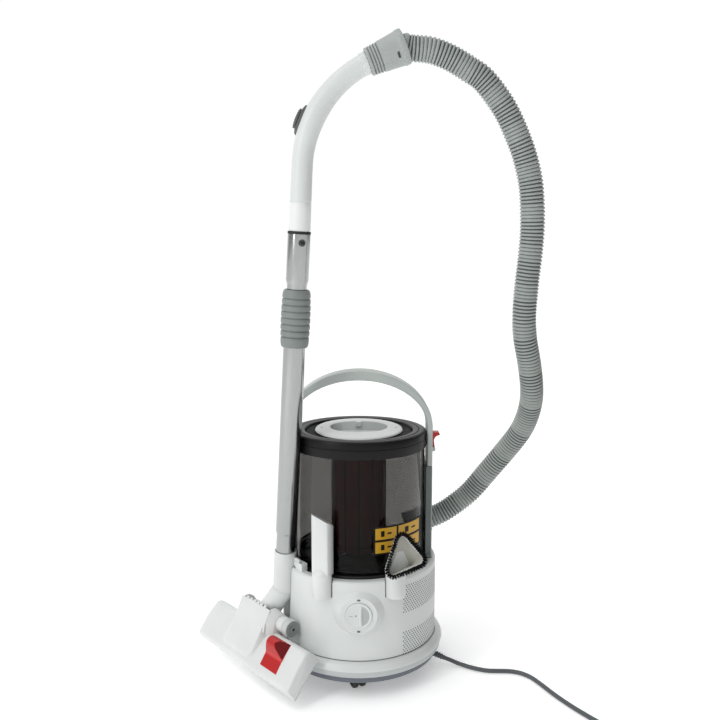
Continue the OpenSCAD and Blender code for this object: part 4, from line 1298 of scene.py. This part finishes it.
def make_neck():
    profile = [(14.4, -24), (18.4, -24), (18.4, 58), (18.7, 60), (18.7, 65.4), (18.2, 67), (16.4, 67),
               (16.1, 66),
               (16.1, 30), (14.4, 28)]
    obj = lathe("neck_sleeve", profile, WHITE, ROOT, WAND, segments=80, sharp=35)
    cut_to_plane(obj, Vector(FOOT) - 0.25 * SWIVEL, SWIVEL, False)
    replace(obj, "nozzle_neck", slot="white_shell")
    blade = prism("neck_blade", rounded([(-20, 191.5), (3.5, 191.5), (3.5, 204), (0, 206.5), (-20, 206.5)],
                                        1.2), -1.9, 1.9,
                  WHITE, ROOT, turn("Z", 218) @ move(124, 0, 0) @ ACROSS, 0.4)


def make_elbow():
    place = aim(PIVOT_WORLD, FOOT)
    length = (Vector(FOOT) - PIVOT_WORLD).length
    profile = [(14.4, 10), (16.8, 8), (17.6, 12), (18.4, 20), (18.4, length + 22), (14.4, length + 22)]
    obj = lathe("elbow_tube", profile, WHITE, "elbow", place, segments=80, sharp=35)
    cut_to_plane(obj, Vector(FOOT) + 0.25 * SWIVEL, SWIVEL, True)
    replace(obj, "nozzle_elbow", slot="white_shell")
    barrel = lathe("elbow_barrel", rounded([(4.05, -17.8), (15.5, -17.8), (16.9, -16), (16.9, 24),
                                            (15.5, 25.8),
                   (4.05, 25.8)], 0.6), WHITE, "elbow", HEAD @ move(*PIVOT) @ turn("Y", 90), segments=64)


def crown(y):
    """The height of the cover's top between its two rounded edges."""
    return 27.4 + 3.4 * math.sin(math.pi / 2 * min(1.0, (y - 11) / 43))


def head_profile(x):
    """The cover's section at x along the head, as (y, z) from the front edge over the top."""
    end = max(0.0, (abs(x) - 118) / 15)
    drop = 1.5 * end * end
    points = [(0.2, 3.2), (0.8, 9), (2.2, 14.5)]
    points += [(12 + 10.2 * math.cos(a), 17.4 + 10.2 * math.sin(a) - drop)
               for a in (math.radians(d) for d in range(165, 104, -12))]
    flat = [11.5, 13, 14.5, 16, 17.5, 19, 20.5, 22, 24, 27, 31, 36, 42, 48, 54]
    points += [(y, crown(y) - drop) for y in flat]
    points += [(62 + 9.6 * math.cos(a),
                21 + 9.8 * math.sin(a) - drop) for a in (math.radians(d) for d in range(80, -1, -16))]
    points += [(71.8, 12), (72, 3.2)]
    return points


def soft_step(t):
    t = min(1.0, max(0.0, t))
    return t * t * (3 - 2 * t)


def hood_plane(y):
    """The hood's top: a plane that climbs from just over the cover's front to the notched edge."""
    return 31.0 + (y - 16) * 0.272


def hood_share(x, y):
    """1 on the hood, 0 off it: a round corner and a steep wall at its right, a blend at its left."""
    corner = 14
    right = 36 - 9 * (1 - min(1.0, max(0.0, (y - 16) / 60))) - x
    front = y - 15
    inside = min(right, front)
    if right < corner and front < corner:
        inside = corner - math.hypot(corner - right, corner - front)
    rear = min(1.0, max(0.0, y / 72))
    left = (x + 66 - 8 * rear) / (24 - 12 * rear)
    return soft_step(inside / 2.6) * soft_step(left)


def make_head_cover():
    xs = [-133, -132.4, -131, -128.5, -125, -120, -112] + [-104 + 4 * k for k in range(8)]
    xs += [-74 + 2 * k for k in range(42)] + [10 + 0.8 * k for k in range(36)]
    xs += [42, 46, 52, 60, 70, 80, 90, 100, 110, 118, 124, 128, 131, 132.4, 133]
    rows = []
    for x in xs:
        edge = 133 - abs(x)
        shrink = 0.0 if edge > 5 else (5 - edge) ** 2 / 25 * 2.4
        row = []
        for y, z in head_profile(x):
            bulge = 0.0
            if x < 0:
                bulge = 7.5 * (y / 72) ** 2 * min(1.0, max(0.0, (-x - 70) / 63)) ** 2
            lift = (hood_plane(y) - z) * hood_share(x, y) if z > 15 else 0.0
            row.append((x + bulge, 36 + (y - 36) * (1 - shrink / 36),
                        3.2 + (z - 3.2) * (1 - shrink / 30) + lift))
        rows.append(row)
    n = len(rows[0])
    verts = [p for row in rows for p in row]
    faces = []
    for i in range(len(rows) - 1):
        for j in range(n):
            k = (j + 1) % n
            faces.append((i * n + j, i * n + k, (i + 1) * n + k, (i + 1) * n + j))
    faces.append(tuple(range(n)))
    faces.append(tuple(reversed(range((len(rows) - 1) * n, len(rows) * n))))
    obj = add_object("head_shell", verts, faces, WHITE_TOOL, "head", HEAD, sharp=50)
    replace(obj, "head_cover", slot="white_shell")


def make_hood():
    """The rear of the hood over the pivot, with its row of small notches, and its two side walls."""
    profile = [(60, 40), (70.5, hood_plane(70.5) - 0.15), (72, hood_plane(72)), (84, hood_plane(84)),
               (93, hood_plane(93)),
               (95, hood_plane(95) - 0.2), (95, 49.8), (88, 47.6), (69, 38.6)]
    roof = prism("hood_roof", profile, -45.5, 35.5, WHITE_TOOL, "head", HEAD @ ACROSS, 0.5)
    for i in range(6):
        x = -30 + 10 * i
        tooth = prism("hood_tooth_%d" % i, rounded([(-3.2, 0), (3.2, 0), (2.6, 4.6), (-2.6, 4.6)], 0.8),
                      50.2, 52.4,
                      WHITE_TOOL, "head", HEAD @ move(x, 93.6, 0), 0.5)
    wall = rounded([(60, 10), (74, 8), (90, 12), (101, 22), (104, 32), (102.6, 42), (97, 48.5), (88, 49.6),
                    (76, 46.4),
                    (60, 34)], 2.5)
    left = prism("hood_cheek_l", wall, -46, -42, WHITE_TOOL, "head", HEAD @ ACROSS, 0.9)
    rings = []
    for x, low, tall in ((32, 1.0, 1.0), (35.6, 1.0, 1.0), (36.4, 0.98, 0.97), (46.2, 0.86, 0.74),
                         (46.8, 0.83, 0.7)):
        rings.append([(x, 82 + (y - 82) * low, 14 + (z - 14) * tall) for y, z in wall])
    right = ring_loft("hood_cheek_r", rings, WHITE_TOOL, "head", HEAD, sharp=50)


def make_pedal():
    """A rocker: a plain toe, a rounded heel, and a facet that cuts the heel's rear right corner away."""
    heel = ((17.2, 0), (36, 0), (37.5, 0.2), (40, 1.6), (43, 4.0), (46, 6.4), (50, 9.0), (54, 10.4),
            (58, 10.2),
            (62, 8.2), (64.5, 5.0), (65.8, 1.0))

    def rise(y):
        for (y0, z0), (y1, z1) in zip(heel, heel[1:]):
            if y <= y1:
                return z0 + (z1 - z0) * (y - y0) / (y1 - y0)
        return heel[-1][1]

    def facet(x, y):
        return 0.42 * (95.8 - x) + 0.085 * (65.8 - y)

    def plain(y):
        return crown(y) + 0.6 - (1.5 if y < 17.5 else 0.0)

    ys = [17.2, 17.6, 18.4, 20, 23, 27, 31, 34] + [36 + k for k in range(30)] + [65.8]
    xs = [52.2, 52.6, 53.2, 54] + [55 + k for k in range(41)] + [95.8]
    rings = []
    for x in xs:
        edge = 0.0 if 53.2 <= x <= 95 else 0.5
        top = [(x, y, plain(y) + min(rise(y), facet(x, y)) - edge) for y in ys]
        rings.append([(x, 65.8, 24.5), (x, 45, 15.5), (x, 39, 15.5), (x, 17.2, 24)] + top)

    # Slot 1 is painted shade on the facet that cuts the heel away.
    def shade(k, i):
        if not 4 <= i < 4 + len(ys) - 1:
            return 0
        x, y = (xs[k] + xs[k + 1]) / 2, (ys[i - 4] + ys[i - 3]) / 2
        if facet(x, y) < rise(y):
            return 1
        return 2 if 36 < y < 41 else 0

    # Slot 2, the band where the heel starts to rise, is a painted highlight.
    obj = ring_loft("pedal_rocker", rings, RED, "pedal", HEAD, sharp=35, slots=[RED, RED_SHADE, RED_HIGHLIGHT],
                    slot_of=shade)
    replace(obj, "pedal", slot="red")


def make_pivot():
    cad("pivot_axle", WHEEL_FACE)
    for x, name in ((-27, "l"), (69, "r")):
        profile = [(4.06, -6.6), (13, -6.6), (14.2, -5.6), (14.2, 6), (13.4, 6.8), (11.2, 6.9), (10.8, 6.2),
                   (9.8, 5.6),
                   (5, 5.2), (4.06, 5.2)]
        wheel = lathe("pivot_wheel_" + name, profile, WHEEL_GREY, "head_wheels",
                      HEAD @ move(x, PIVOT.y, PIVOT.z) @ turn("Y", 90), segments=64,
                      slots=[WHEEL_GREY, WHEEL_FACE],
                      slot_of=lambda i: 1 if i in (4, 5, 6, 7, 8) else 0)
        if x < 0:
            replace(wheel, "head_wheels", slot="wheel_grey")
    cap = lathe("axle_cap", [(0, 79.4), (1.8, 79.4), (2.3, 79.0), (2.3, 76), (0, 76)], WHEEL_BLACK, "head",
                HEAD @ move(0, PIVOT.y, PIVOT.z) @ turn("Y", 90), segments=24)
    hub = lathe("pivot_hub", rounded([(4.2, 37), (12.6, 37), (12.6, 61), (4.2, 61)], 1.0), WHITE_TOOL,
                "head",
                HEAD @ move(0, PIVOT.y, PIVOT.z) @ turn("Y", 90), segments=64)


make_neck()
make_elbow()
make_head_cover()
make_hood()
make_pedal()
make_pivot()
cad("head_sole", SOLE)
cad("bristle_strip", BRISTLE)


# ---------- strain relief, plug and inner parts ----------

def make_relief():
    start, end = Vector((110, -25.4, 28)), Vector(CORD_ROUTE[0])
    length = (end - start).length
    profile = [(3.5, 0), (5.5, 0), (5.5, 15.5)]
    for i in range(5):
        z = 16.5 + 4.4 * i
        r = 5.6 - 0.22 * i
        profile += [(r, z), (r, z + 2.4), (r - 1.3, z + 2.8), (r - 1.3, z + 4.0)]
    profile += [(4.4, length - 0.6), (3.9, length), (3.5, length)]
    replace(lathe("relief_boot", profile, CORD, ROOT, aim(start, end), segments=40, sharp=40),
            "strain_relief",
            slot="cord_grey")


make_relief()
for inner, material in (("mains_plug", CORD), ("motor_can", STEEL), ("fan_cover", STEEL),
                        ("motor_rotor", COPPER), ("impeller", DIAL_GREY), ("motor_mounts", RUBBER),
                        ("exhaust_filter", FILTER_GREY), ("circuit_board", BOARD), ("rotary_switch", BLACK),
                        ("tube_guide", BLACK)):
    cad(inner, material)


# ---------- floor ----------

def make_floor():
    data = bpy.data.meshes.new("floor")
    data.from_pydata([(-12, -12, 0), (12, -12, 0), (12, 12, 0), (-12, 12, 0)], [], [(0, 1, 2, 3)])
    floor = bpy.data.objects.new("floor", data)
    bpy.context.scene.collection.objects.link(floor)
    material, nodes, links, shader = new_material("floor_white", (0.93, 0.93, 0.93), 0.8, specular=0.2)
    shader.inputs["Emission Color"].default_value = (1, 1, 1, 1)
    shader.inputs["Emission Strength"].default_value = 0.3
    data.materials.append(material)


make_floor()
